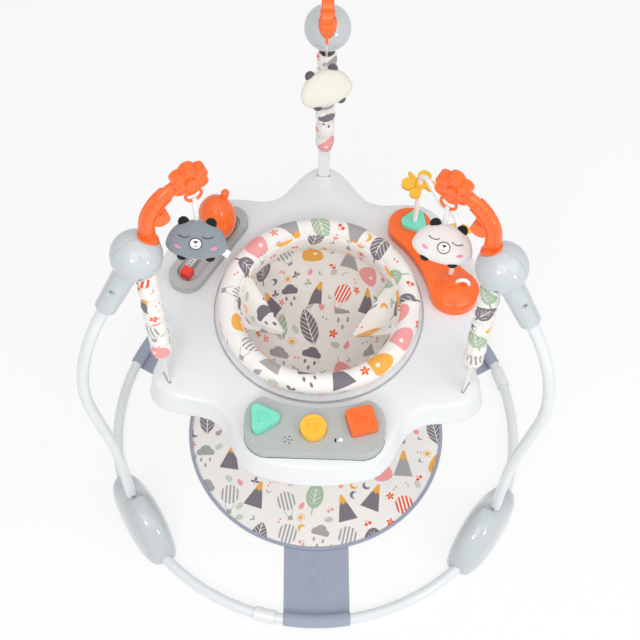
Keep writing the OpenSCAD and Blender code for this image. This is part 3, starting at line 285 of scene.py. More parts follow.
@dataclass(frozen=True)
class Moulded(Finish):
    """Injection-moulded ABS."""

    roughness: float = 0.24
    ior: float = 1.53
    grain_mm: float = 5.0
    edge_mm: float = 1.4


@dataclass(frozen=True)
class Pile(Finish):
    """Plush or felt, a matt pile of short fibres."""

    roughness: float = 0.95
    ior: float = 1.4
    sheen: float = 0.35
    grain_mm: float = 1.6
    relief_mm: float = 0.7
    mottle: float = 0.05


PLAIN_WEAVE = "sin(u * k) * sin(v * k) * 0.5 + 0.5"
RIBS = "abs(sin(v * k)) * 0.8 + sin(u * k * 3) * 0.2"


@dataclass(frozen=True)
class Cloth(Finish):
    """Woven cloth. Its real threads are finer than a pixel, so they are drawn coarser to show.

    Fields:
        thread_mm: spacing of the threads or ribs.
        weave: formula of their height, from u across and v along the cloth and k for the spacing.
    """

    roughness: float = 0.85
    ior: float = 1.46
    sheen: float = 0.15
    thread_mm: float = 1.5
    weave: str = PLAIN_WEAVE

    def height(self, tree: Tree) -> Socket:
        """Lay out threads that pass over and under each other."""
        flat = add(tree, "ShaderNodeUVMap", {"uv_map": CLOTH_MAP})
        split = add(tree, "ShaderNodeSeparateXYZ", links={0: flat.outputs[0]})
        known = {"u": split.outputs[0], "v": split.outputs[1], "k": math.pi / (self.thread_mm * MM)}
        return formula(tree, self.weave, known)


@dataclass(frozen=True)
class Motif:
    """One figure of the print.

    Fields:
        shape: formula in millimetres from the figure's middle, below zero inside the figure.
        inks: two colours that the figure comes in.
        accent: formula that is 1 where the second colour lies on the figure.
        accent_ink: that second colour.
    """

    shape: str
    inks: tuple[Ink, Ink]
    accent: str = ""
    accent_ink: Ink = Ink.CREAM


@dataclass(frozen=True)
class Scatter:
    """Figures in rows, each strayed a little from its even place.

    Fields:
        motifs: the figures to choose from.
        wide_mm, tall_mm: distance between figures across and up the cloth.
        jitter: how far they stray, as a share.
        swing: how far they turn, in radians.
    """

    motifs: tuple[Motif, ...]
    wide_mm: float
    tall_mm: float
    jitter: float
    swing: float

    def nearest(self, tree: Tree, where: Socket) -> dict:
        """Find the figure nearest to a place on the cloth.

        Args:
            tree: the material's node tree.
            where: socket with the place in millimetres.

        Returns:
            Sockets by name: the figure's middle, x and y from it, which figure it is and which ink.
        """
        shrink = {"operation": "MULTIPLY", 1: (1 / self.wide_mm, 1 / self.tall_mm, 0)}
        even = add(tree, "ShaderNodeVectorMath", shrink, {0: where})
        settings = {"voronoi_dimensions": "2D", "Scale": 1.0, "Randomness": self.jitter}
        cells = add(tree, "ShaderNodeTexVoronoi", settings, {"Vector": even.outputs[0]})
        draw = add(tree, "ShaderNodeSeparateColor", links={0: cells.outputs["Color"]})
        grow = {"operation": "MULTIPLY", 1: (self.wide_mm, self.tall_mm, 0)}
        middle = add(tree, "ShaderNodeVectorMath", grow, {0: cells.outputs["Position"]}).outputs[0]
        local = add(tree, "ShaderNodeVectorMath", {"operation": "SUBTRACT"}, {0: where, 1: middle})
        angle = formula(tree, f"(g - 0.5) * {self.swing}", {"g": draw.outputs[1]})
        turned = add(tree, "ShaderNodeVectorRotate", {"rotation_type": "Z_AXIS"},
                     {"Vector": local.outputs[0], "Angle": angle})
        split = add(tree, "ShaderNodeSeparateXYZ", links={0: turned.outputs[0]})
        return {"middle": middle, "x": split.outputs[0], "y": split.outputs[1],
                "pick": formula(tree, f"floor(r * {len(self.motifs)})", {"r": draw.outputs[0]}),
                "second": formula(tree, "above(b, 0.5)", {"b": draw.outputs[2]})}

    def edges(self, tree: Tree, near: dict) -> list[tuple[Motif, Socket, Socket]]:
        """Lay out each figure's edge, and whether it is the one that is there.

        Args:
            tree: the material's node tree.
            near: sockets from nearest.

        Returns:
            Each figure with the socket of its edge and of its choice.
        """
        picks = [formula(tree, f"below(abs(pick - {n}), 0.5)", near) for n in range(len(self.motifs))]
        return [(motif, formula(tree, motif.shape, near), pick) for motif, pick in zip(self.motifs, picks)]

    def distance(self, tree: Tree, where: Socket) -> Socket:
        """Distance from a place to the nearest figure's edge, below zero in the figure."""
        total = 0.0
        for _motif, edge, chosen in self.edges(tree, self.nearest(tree, where)):
            total = formula(tree, "total + edge * chosen", {"total": total, "edge": edge, "chosen": chosen})
        return total

    def draw(self, tree: Tree, near: dict, ground: Socket, blank: Socket | float) -> Socket:
        """Print the figures.

        Args:
            tree: the material's node tree.
            near: sockets from nearest.
            ground: socket with the colour under them.
            blank: socket or number that is 1 where nothing is printed.

        Returns:
            Socket with the colour.
        """
        colour = ground
        for motif, edge, chosen in self.edges(tree, near):
            known = {**near, "edge": edge, "chosen": chosen, "blank": blank}
            inside = formula(tree, "min(max(0.5 - edge / 0.6, 0), 1) * chosen * (1 - blank)", known)
            first_ink, second_ink = (linear(ink.value) for ink in motif.inks)
            settings = {"data_type": "RGBA", 6: first_ink, 7: second_ink}
            ink = add(tree, "ShaderNodeMix", settings, {0: near["second"]})
            links = {0: inside, 6: colour, 7: ink.outputs[2]}
            colour = add(tree, "ShaderNodeMix", {"data_type": "RGBA"}, links).outputs[2]
            if motif.accent:
                mark = formula(tree, f"inside * ({motif.accent})", {**known, "inside": inside})
                settings = {"data_type": "RGBA", 7: linear(motif.accent_ink.value)}
                colour = add(tree, "ShaderNodeMix", settings, {0: mark, 6: colour}).outputs[2]
        return colour


TREE = Motif("min(far(x, (y - 6) * 0.66) - 17, max(abs(x) - 1.5, abs(y + 24) - 9))", (Ink.SAGE, Ink.SLATE),
             "max(below(abs(x), 0.7), below(abs(cycle((y - abs(x)) / 10) - 0.5), 0.07)) "
             "* below(far(x, (y - 6) * 0.66), 12)")
PEAK = Motif("max(max(abs(x) - (36 - y) * 0.31, -26 - y), y - 29)", (Ink.SLATE, Ink.ASH),
             "above(y + 2.2 * cos(x * 0.8), 10)", Ink.AMBER)
BALLOON = Motif("min(min(far(x, (y - 10) * 0.92) - 18.5, max(abs(x) - 4.6, abs(y + 26) - 4.4)), "
                "max(abs(abs(x) - 4 - (y + 21) * 0.5) - 0.6, abs(y + 15) - 7))", (Ink.TOMATO, Ink.ASH),
                "above(cycle(x / 7.4 + 0.25), 0.5) * above(y, -12)")
LEAF = Motif("max(far(x + 26, y), far(x - 26, y)) - 42", (Ink.SLATE, Ink.SAGE),
             "max(below(abs(x), 0.8), below(abs(cycle((y - abs(x)) / 9) - 0.5), 0.08))")
SHOWER = Motif("min(min(max(min(min(far(x + 10, y - 14) - 8, far(x - 10, y - 14) - 7.5), "
               "far(x, y - 19) - 11), 8 - y), far(abs(x) - 9, (y + 2) * 0.5) - 2.3), "
               "far(x, (y + 14) * 0.5) - 2.3)", (Ink.ASH, Ink.SLATE))
PEAR = Motif("min(far(x * (1 + y * 0.016), (y + 3) * 0.68) - 17, "
             "max(abs(x - (y - 24) * 0.2) - 1, abs(y - 27) - 5))",
             (Ink.ROSE, Ink.AMBER), "below(far(x + 6, y + 6), 3.6)")
SUN = Motif("min(far(x, y) - 4.6, "
            "max(max(far(x, y) - 9, 6.2 - far(x, y)), (0.25 - cos(9 * turn(y, x))) * 2))",
            (Ink.AMBER, Ink.TOMATO))
FLOWER = Motif("far(x, y) - 6.2 - 2.4 * cos(5 * turn(y, x))", (Ink.TOMATO, Ink.ROSE),
               "below(far(x, y), 2.6)", Ink.AMBER)
DROP = Motif("abs(x) - 13 * max((9 - y) / 17, 0) * sqrt(max((y + 8) / 17, 0))", (Ink.ROSE, Ink.ASH))
CRESCENT = Motif("max(far(x, y) - 8, 6.6 - far(x - 4, y - 2))", (Ink.SLATE, Ink.AMBER))
PEBBLE = Motif("far(x / 1.5, y) - 5.6", (Ink.SAGE, Ink.ASH), "above(cycle((y + x * 0.3) / 3.6), 0.62)")
BERRIES = Motif("min(min(far(x + 4, y + 3.5) - 3.3, far(x - 4, y + 4) - 3.3), "
                "max(abs(y - 4 + abs(x) * 1.5) - 0.8, abs(x) - 4))", (Ink.TOMATO, Ink.ROSE))
TREFOIL = Motif("min(min(far(x * 1.7, y - 4.4) - 4.6, far((abs(x) - 4.6) * 1.1, (y + 1.5) * 1.7) - 4.4), "
                "max(abs(x) - 0.6, abs(y + 5) - 4))", (Ink.SAGE, Ink.SLATE))
TWIG = Motif("max(abs(y - abs(x)) - 1.5, abs(x) - 5)", (Ink.SLATE, Ink.ASH))
DOTS = Motif("far(abs(x) - 3.4, y - 1 + abs(x) * 0.4) - 1.7", (Ink.ASH, Ink.TOMATO))
LARGE = Scatter((TREE, PEAK, BALLOON, LEAF, SHOWER, PEAR), 58.0, 86.0, 0.32, 0.7)
SMALL = Scatter((SUN, FLOWER, DROP, CRESCENT, PEBBLE, BERRIES, TREFOIL, TWIG, DOTS), 25.0, 25.0, 0.45, 2.4)


@dataclass(frozen=True)
class Print(Cloth):
    """Plain-woven cloth with a printed scatter of trees, peaks, leaves, clouds and flowers."""

    def shade(self, tree: Tree) -> Socket:
        """Lay out the print: large figures, and small ones where there is room between them."""
        flat = add(tree, "ShaderNodeUVMap", {"uv_map": CLOTH_MAP})
        scale = {"operation": "SCALE", "Scale": 1 / MM}
        where = add(tree, "ShaderNodeVectorMath", scale, {0: flat.outputs[0]}).outputs[0]
        colour = LARGE.draw(tree, LARGE.nearest(tree, where), super().shade(tree), 0.0)
        small = SMALL.nearest(tree, where)
        crowded = formula(tree, "below(d, 9.5)", {"d": LARGE.distance(tree, small["middle"])})
        return SMALL.draw(tree, small, colour, crowded)


# Injection-moulded ABS has a soft gloss, a faint orange peel and rounded edges.
SHELL = Moulded("moulded_abs_pale_grey", "#C3CACD", 0.08, coat=0.1, grain_mm=6.0, edge_mm=1.2)
TRAY = Moulded("moulded_abs_white", "#E6E8EA", 0.26, coat=0.1, edge_mm=1.6)
PANEL = Moulded("moulded_abs_panel_grey", "#B2B6B4", 0.32, grain_mm=1.2, relief_mm=0.03)
ORANGE = Moulded("moulded_abs_orange", "#FF6A14", 0.22, coat=0.15, edge_mm=1.6)
YELLOW = Moulded("moulded_abs_yellow", "#FFC02B", coat=0.1)
MINT = Moulded("moulded_abs_mint", "#79DEC2", coat=0.1, edge_mm=1.6)
RED = Moulded("moulded_abs_red", "#EF3528", coat=0.1, edge_mm=1.2)
# The same bright white also paints the highlight arch on the bead toy's front lobe.
WHITE = Moulded("moulded_abs_bright_white", "#F4F4F3", 0.25, edge_mm=1.0)
# Moulded polypropylene is duller, with a fine moulded grain.
BLACK = Finish("moulded_pp_black", "#17171A", 0.42, 1.49, grain_mm=1.5, relief_mm=0.03, edge_mm=0.8)
# Solder mask is an even satin lacquer over the tracks.
BOARD = Finish("solder_mask_green", "#1E5A3C", 0.35, 1.55, relief_mm=0.05)
# Powder-lacquered steel tube has an even satin gloss with a fine ripple.
TUBE = Finish("lacquered_steel_white", "#E0E5E7", 0.24, 1.52, coat=0.2, grain_mm=2.5, relief_mm=0.015)
# Zinc-plated steel is a dull bright metal.
ZINC = Finish("zinc_plated_steel", "#B9BCBE", 0.32, metallic=1.0, grain_mm=1.5)
# Moulded rubber is dark, matt and slightly pitted; the same dark finish paints the shadow in the gap at the
# sound panel's foot.
RUBBER_AND_GAP_SHADOW = Finish("moulded_rubber_grey", "#4A4D50", 0.75, grain_mm=1.0, relief_mm=0.05, edge_mm=0.8)
# Brushed polyester plain weave: matt, with a slight sheen at grazing angles.
PRINT = Print("printed_polyester", Ink.CREAM.value, sheen=0.12, relief_mm=0.06, mottle=0.015)
LILAC = Cloth("woven_polyester_lilac_grey", "#9FA6B8", relief_mm=0.12, mottle=0.05)
PIPING = Cloth("bias_tape_slate", "#85828C", relief_mm=0.08)
# Narrow woven tape has ribs across it.
TAPE = Cloth("white_webbing", "#F1F1F0", 0.75, sheen=0.1, relief_mm=0.15, thread_mm=1.6, weave=RIBS)
# Sewing thread is a fine twisted cord with a faint gloss.
THREAD_PALE = Finish("pale_sewing_thread", "#C9CAD6", 0.7, 1.46, grain_mm=0.6, relief_mm=0.1)
THREAD_DARK = Finish("dark_embroidery_thread", "#25242A", 0.6, 1.46, grain_mm=0.6, relief_mm=0.15)
# Short-pile plush: soft edges, a bright rim of pile and a crushed, uneven nap.
PLUSH_GREY = Pile("plush_grey", "#88929A", sheen=0.55, mottle=0.09)
PLUSH_PALE = Pile("plush_pale", "#E2DFDC")
PLUSH_CREAM = Pile("plush_cream", "#E6E4D8")
PLUSH_BLACK = Pile("plush_black", "#1B1B1E", sheen=0.12, relief_mm=0.5, mottle=0.2)
PLUSH_SLATE = Pile("plush_slate", "#5D5A60", sheen=0.3, relief_mm=0.5, mottle=0.1)
# Felt is a matt mat of short fibres with a fine, even nap.
FELT_WHITE = Pile("white_felt", "#F3F1EF", sheen=0.2, grain_mm=0.9, relief_mm=0.2, mottle=0.03)
FELT_ROSE = Pile("rose_felt", "#F28DB4", sheen=0.2, grain_mm=0.9, relief_mm=0.2, mottle=0.03)

NODE_FINISHES = {
    SHELL: ("foot_pod_rear foot_pod_left foot_pod_right foot_covers dome_shell_rear dome_shell_left "
            "dome_shell_right dome_covers"),
    TUBE: "base_tubes_long base_tubes_short pole_rear pole_left pole_right",
    WHITE: "bead_bar power_switch",
    ZINC: "frame_screws spring_pins tray_screws snap_button_rear snap_button_left snap_button_right",
    RUBBER_AND_GAP_SHADOW: "foot_pads",
    TRAY: "base_couplers tray_top tray_underside seat_track seat_ring seat_retainer",
    PANEL: "panel_case panel_base battery_door car_track track_rim",
    BOARD: "circuit_board",
    BLACK: "speaker car_wheels_front car_wheels_rear",
    ORANGE: "toy_arm_rear toy_arm_left toy_arm_right button_square car_body bead_base",
    YELLOW: "button_round butterfly rainbow",
    MINT: "button_triangle bead_plinth",
    RED: "track_stop",
}


def full_turn(count: int) -> np.ndarray:
    """Even angles once round, in radians."""
    return np.linspace(0, 2 * math.pi, count, endpoint=False)


def lengths(line: np.ndarray) -> np.ndarray:
    """Length along a line up to each of its points."""
    return np.concatenate([[0], np.cumsum(np.linalg.norm(np.diff(line, axis=0), axis=1))])


def rolled(across: Sequence[float], along: Sequence[float]) -> Spot:
    """Places on a flat strip.

    Args:
        across: where each column lies across it.
        along: where each row lies along it.

    Returns:
        The function that a grid takes.
    """
    return lambda _row, i, j: (across[j] * MM, along[i] * MM)


class Maker:
    """Gathers the points, faces and cloth places of one piece, in millimetres."""

    def __init__(self) -> None:
        """Start with no points."""
        self.points: list[np.ndarray] = []
        self.faces: list[list[int]] = []
        self.spots: list[tuple[float, float]] = []

    def grid(self, points: np.ndarray, wrap_rows: bool = False, wrap_columns: bool = False,
             spot: Spot | None = None) -> None:
        """Add a skin of four-sided faces over rows of points.

        Args:
            points: rows by columns by three.
            wrap_rows: join the last row to the first.
            wrap_columns: join the last column to the first.
            spot: place on the flat cloth in metres, from the face's row and a corner's row and column.
        """
        rows, columns = points.shape[:2]
        first = len(self.points)
        self.points.extend(points.reshape(-1, 3))
        for i in range(rows if wrap_rows else rows - 1):
            for j in range(columns if wrap_columns else columns - 1):
                corners = ((i, j), (i, j + 1), (i + 1, j + 1), (i + 1, j))
                self.faces.append([first + (a % rows) * columns + b % columns for a, b in corners])
                self.spots.extend(spot(i, a, b) if spot else (0.0, 0.0) for a, b in corners)

    def cap(self, first: int, count: int, flip: bool = False) -> None:
        """Close a ring of points with one face.

        Args:
            first: number of the ring's first point.
            count: points in the ring.
            flip: turn the face over.
        """
        ring = list(range(first, first + count))
        self.faces.append(ring[::-1] if flip else ring)
        self.spots.extend([(0.0, 0.0)] * count)

    def bar(self, path: Sequence, radius: float | Sequence[float], sides: int = 8,
            closed: bool = False) -> None:
        """Add a round bar along a path.

        Args:
            path: points that the bar follows.
            radius: the bar's radius, or one for each point.
            sides: faces round the bar.
            closed: join the end to the start.
        """
        line = np.array(path, float)
        radii = np.broadcast_to(np.array(radius, float), (len(line),))
        ahead = np.roll(line, -1, 0) - np.roll(line, 1, 0) if closed else np.gradient(line, axis=0)
        ahead /= np.linalg.norm(ahead, axis=1)[:, None]
        side = np.cross(ahead[0], (0.31, 0.52, 0.79))
        angles = full_turn(sides)
        rings = []
        for point, along, r in zip(line, ahead, radii):
            side = side - along * (side @ along)
            side /= np.linalg.norm(side)
            other = np.cross(along, side)
            rings.append(point + r * (np.outer(np.cos(angles), side) + np.outer(np.sin(angles), other)))
        first = len(self.points)
        self.grid(np.array(rings), wrap_rows=closed, wrap_columns=True)
        if not closed:
            self.cap(first, sides, flip=True)
            self.cap(first + (len(line) - 1) * sides, sides)

    def piece(self, name: str, place: Matrix | None = None, merge_mm: float = 0.0) -> Piece:
        """Make the object.

        Args:
            name: the piece's name.
            place: matrix from the maker's frame to the model's frame.
            merge_mm: join points that are closer than this.

        Returns:
            The new object, with its points in the model's frame.
        """
        mesh = bpy.data.meshes.new(name)
        mesh.from_pydata([tuple(p * MM) for p in self.points], [], self.faces)
        layer = mesh.uv_layers.new(name=CLOTH_MAP)
        layer.data.foreach_set("uv", np.array(self.spots, np.float32).ravel())
        work = bmesh.new()
        work.from_mesh(mesh)
        if merge_mm:
            bmesh.ops.remove_doubles(work, verts=work.verts, dist=merge_mm * MM)
        bmesh.ops.recalc_face_normals(work, faces=work.faces)
        work.to_mesh(mesh)
        work.free()
        if place is not None:
            mesh.transform(place)
        mesh.polygons.foreach_set("use_smooth", [True] * len(mesh.polygons))
        piece = bpy.data.objects.new(name, mesh)
        bpy.context.scene.collection.objects.link(piece)
        return piece


def dress(piece: Piece, finish: Finish, body: str = "") -> Piece:
    """Give a piece its finish and the body that it rides on.

    Args:
        piece: the piece.
        finish: its finish.
        body: the body, or nothing to leave the piece unattached.

    Returns:
        The piece.
    """
    piece.data.materials.clear()
    piece.data.materials.append(finish.material())
    if body:
        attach(piece, body)
    log.info("made %s in %s", piece.name, finish.name)
    return piece


def thicken(piece: Piece, thick: float, offset: float = 0.0) -> None:
    """Give a sheet its thickness.

    Args:
        piece: the sheet.
        thick: thickness in millimetres.
        offset: -1 inwards, 0 both ways, 1 outwards.
    """
    shell = piece.modifiers.new("thickness", "SOLIDIFY")
    shell.thickness = thick * MM
    shell.offset = offset


def soften(piece: Piece, levels: int = 1) -> None:
    """Round a piece with a subdivision surface."""
    smooth = piece.modifiers.new("soft", "SUBSURF")
    smooth.levels = levels
    smooth.render_levels = levels


def inflate(piece: Piece, sewn: Callable[[np.ndarray], np.ndarray], pressure: float, cap: float) -> None:
    """Fill a closed cloth piece by simulation, and keep the shape that it takes.

    Args:
        piece: the piece, with no modifiers yet.
        sewn: says which points are sewn down, from all points in millimetres.
        pressure: pressure of the filling.
        cap: furthest that a point may move, in millimetres.
    """
    count = len(piece.data.vertices)
    start = np.zeros(count * 3, np.float32)
    piece.data.vertices.foreach_get("co", start)
    start = start.reshape(-1, 3)
    group = piece.vertex_groups.new(name="sewn")
    group.add([int(i) for i in np.flatnonzero(sewn(start / MM))], 1.0, "REPLACE")
    cloth = piece.modifiers.new("fill", "CLOTH")
    cloth.settings.use_pressure = True
    cloth.settings.uniform_pressure_force = pressure
    cloth.settings.effector_weights.gravity = 0
    cloth.settings.vertex_group_mass = group.name
    cloth.settings.quality = 5
    scene = bpy.context.scene
    for step in range(1, FILL_STEPS + 1):
        scene.frame_set(step)
    shaped = piece.evaluated_get(bpy.context.evaluated_depsgraph_get()).data
    end = np.zeros(count * 3, np.float32)
    shaped.vertices.foreach_get("co", end)
    moved = end.reshape(-1, 3) - start
    length = np.linalg.norm(moved, axis=1, keepdims=True)
    moved *= np.minimum(1, cap * MM / np.maximum(length, 1e-9))
    piece.modifiers.remove(cloth)
    piece.vertex_groups.remove(group)
    piece.data.vertices.foreach_set("co", (start + moved).astype(np.float32).ravel())
    piece.data.update()
    scene.frame_set(1)


def ring_points(radius: float, z: float, count: int, start: float = 0.0, end: float = 360.0,
                middle: tuple[float, float] = (0.0, 0.0)) -> np.ndarray:
    """Points along a level arc.

    Args:
        radius: the arc's radius.
        z: its height.
        count: how many points.
        start: first angle.
        end: last angle, left out where the arc is a full circle.
        middle: x and y of the arc's middle.

    Returns:
        The points, count by three.
    """
    angles = np.radians(np.linspace(start, end, count, endpoint=end - start < 360))
    x, y = middle
    return np.stack([x + radius * np.cos(angles), y + radius * np.sin(angles), np.full(count, z)], 1)


def stitches(maker: Maker, line: np.ndarray, length: float, gap: float, radius: float) -> None:
    """Add a row of stitches along a line.

    Args:
        maker: gathers the stitches.
        line: close points along the seam.
        length: length of a stitch.
        gap: space to the next.
        radius: radius of the thread.
    """
    along = lengths(line)
    for begin in np.arange(0, along[-1] - length, length + gap):
        at = np.linspace(begin, begin + length, 4)
        path = np.stack([np.interp(at, along, line[:, k]) for k in range(3)], 1)
        maker.bar(path, [radius * 0.5, radius, radius, radius * 0.5], 5)


@dataclass(frozen=True)
class Lamp:
    """A square lamp: its place, its side and its power in watts."""

    name: str
    spot: tuple[float, float, float]
    size: float
    power: float


@dataclass
class Studio:
    """Camera, floor and soft light."""

    azimuth: float = 0.4
    elevation: float = 59.51
    roll: float = 1.557
    distance: float = 1879.8
    target: tuple[float, float, float] = (2.9, -87.6, 588.4)
    lens: float = 67.01
    sensor: float = 36.0
    floor_reach: float = 9000.0
    floor_z: float = -0.4
    paper: str = "#F7F7F6"
    white_share: float = 0.75
    sky: float = 0.6
    lamps: tuple[Lamp, ...] = (
        Lamp("key", (-300, -1900, 2700), 1800, 20),
        Lamp("fill", (1700, -900, 2400), 1800, 13),
        Lamp("overhead", (0, -300, 3200), 2400, 10),
        Lamp("small_0", (-620, -2070, 1950), 420, 7),
        Lamp("small_1", (1980, -1800, 1020), 420, 7))
    aim_z: float = 450.0

    def camera(self) -> None:
        """Place the camera at the photograph's viewing angle."""
        a, e, r = (math.radians(v) for v in (self.azimuth, self.elevation, self.roll))
        back = Vector((math.sin(a) * math.cos(e), -math.cos(a) * math.cos(e), math.sin(e)))
        right = Vector((math.cos(a), math.sin(a), 0))
        above = back.cross(right)
        across = right * math.cos(r) + above * math.sin(r)
        upward = above * math.cos(r) - right * math.sin(r)
        spot = (Vector(self.target) + back * self.distance) * MM
        data = bpy.data.cameras.new("camera")
        data.lens = self.lens
        data.sensor_width = self.sensor
        data.clip_end = 50
        camera = bpy.data.objects.new("camera", data)
        camera.matrix_world = Matrix((
            (across.x, upward.x, back.x, spot.x), (across.y, upward.y, back.y, spot.y),
            (across.z, upward.z, back.z, spot.z), (0, 0, 0, 1)))
        bpy.context.scene.collection.objects.link(camera)
        bpy.context.scene.camera = camera

    def seen(self, tree: Tree, share: float) -> Socket:
        """A value that is share on rays that show the background, and 0 on rays that light the object."""
        rays = add(tree, "ShaderNodeLightPath")
        known = {"c": rays.outputs["Is Camera Ray"], "g": rays.outputs["Is Glossy Ray"],
                 "t": rays.outputs["Is Transmission Ray"], "share": share}
        return formula(tree, "max(max(c, g), t) * share", known)

    def floor(self) -> None:
        """Lay the floor, which looks near white and keeps the shadow."""
        maker = Maker()
        span = np.linspace(-self.floor_reach, self.floor_reach, 9)
        maker.grid(np.array([[(x, y, self.floor_z) for x in span] for y in span]))
        floor = maker.piece("floor")
        paint = bpy.data.materials.new("floor_paper")
        paint.use_nodes = True
        tree = paint.node_tree
        tree.nodes.clear()
        matt = add(tree, "ShaderNodeBsdfDiffuse", {"Color": linear(self.paper)})
        glow = add(tree, "ShaderNodeEmission", {"Color": (1, 1, 1, 1), "Strength": 1.0})
        links = {0: self.seen(tree, self.white_share), 1: matt.outputs[0], 2: glow.outputs[0]}
        mixed = add(tree, "ShaderNodeMixShader", links=links)
        add(tree, "ShaderNodeOutputMaterial", links={0: mixed.outputs[0]})
        floor.data.materials.append(paint)

    def light(self) -> None:
        """Hang three large soft lamps and two small ones that leave small highlights."""
        world = bpy.data.worlds.new("studio")
        world.use_nodes = True
        tree = world.node_tree
        tree.nodes.clear()
        strength = formula(tree, "sky + seen", {"sky": self.sky, "seen": self.seen(tree, 1 - self.sky)})
        sky = add(tree, "ShaderNodeBackground", {"Color": (1, 1, 1, 1)}, {"Strength": strength})
        add(tree, "ShaderNodeOutputWorld", links={0: sky.outputs[0]})
        bpy.context.scene.world = world
        for lamp in self.lamps:
            self.hang(lamp)

    def hang(self, lamp: Lamp) -> None:
        """Hang a lamp so that it faces the object."""
        data = bpy.data.lights.new(lamp.name, "AREA")
        data.size = lamp.size * MM
        data.energy = lamp.power
        hung = bpy.data.objects.new(lamp.name, data)
        hung.location = Vector(lamp.spot) * MM
        aim = Vector((0, 0, self.aim_z * MM)) - hung.location
        hung.rotation_euler = aim.to_track_quat("-Z", "Y").to_euler()
        bpy.context.scene.collection.objects.link(hung)

    def build(self) -> None:
        """Set up the view, the floor and the lamps."""
        bpy.context.scene.view_settings.view_transform = "Standard"
        self.camera()
        self.floor()
        self.light()


@dataclass
class HardParts:
    """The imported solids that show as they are."""

    lofted: tuple[str, ...] = ("foot_pod_rear", "foot_pod_left", "foot_pod_right", "tray_top", "bead_bar")
    sharp_angle: float = 32.0
    join: float = 0.01

    def build(self) -> None:
        """Give each solid its finish, and round the lofted ones."""
        for finish, names in NODE_FINISHES.items():
            for name in names.split():
                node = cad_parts[name]
                node.data.materials.clear()
                node.data.materials.append(finish.material())
                log.info("finished %s in %s", name, finish.name)
        smooth = self.smoother()
        for name in self.lofted:
            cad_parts[name].modifiers.new("smooth", "NODES").node_group = smooth

    def smoother(self) -> Tree:
        """Lay out nodes that shade the facets of a loft as one surface and keep its sharp edges.

        Returns:
            The node group for a modifier.
        """
        tree = bpy.data.node_groups.new("smooth_facets", "GeometryNodeTree")
        for side in ("INPUT", "OUTPUT"):
            tree.interface.new_socket("Geometry", in_out=side, socket_type="NodeSocketGeometry")
        start = add(tree, "NodeGroupInput").outputs[0]
        joined = add(tree, "GeometryNodeMergeByDistance", {"Distance": self.join * MM}, {0: start}).outputs[0]
        turn = add(tree, "GeometryNodeInputMeshEdgeAngle").outputs[0]
        limit = {"operation": "GREATER_THAN", 1: math.radians(self.sharp_angle)}
        sharp = add(tree, "ShaderNodeMath", limit, {0: turn}).outputs[0]
        links = {"Mesh": joined, "Edge Sharpness": sharp}
        shaded = add(tree, "GeometryNodeSetMeshNormal", {"Remove Custom": True}, links).outputs[0]
        add(tree, "NodeGroupOutput", links={0: shaded})
        return tree


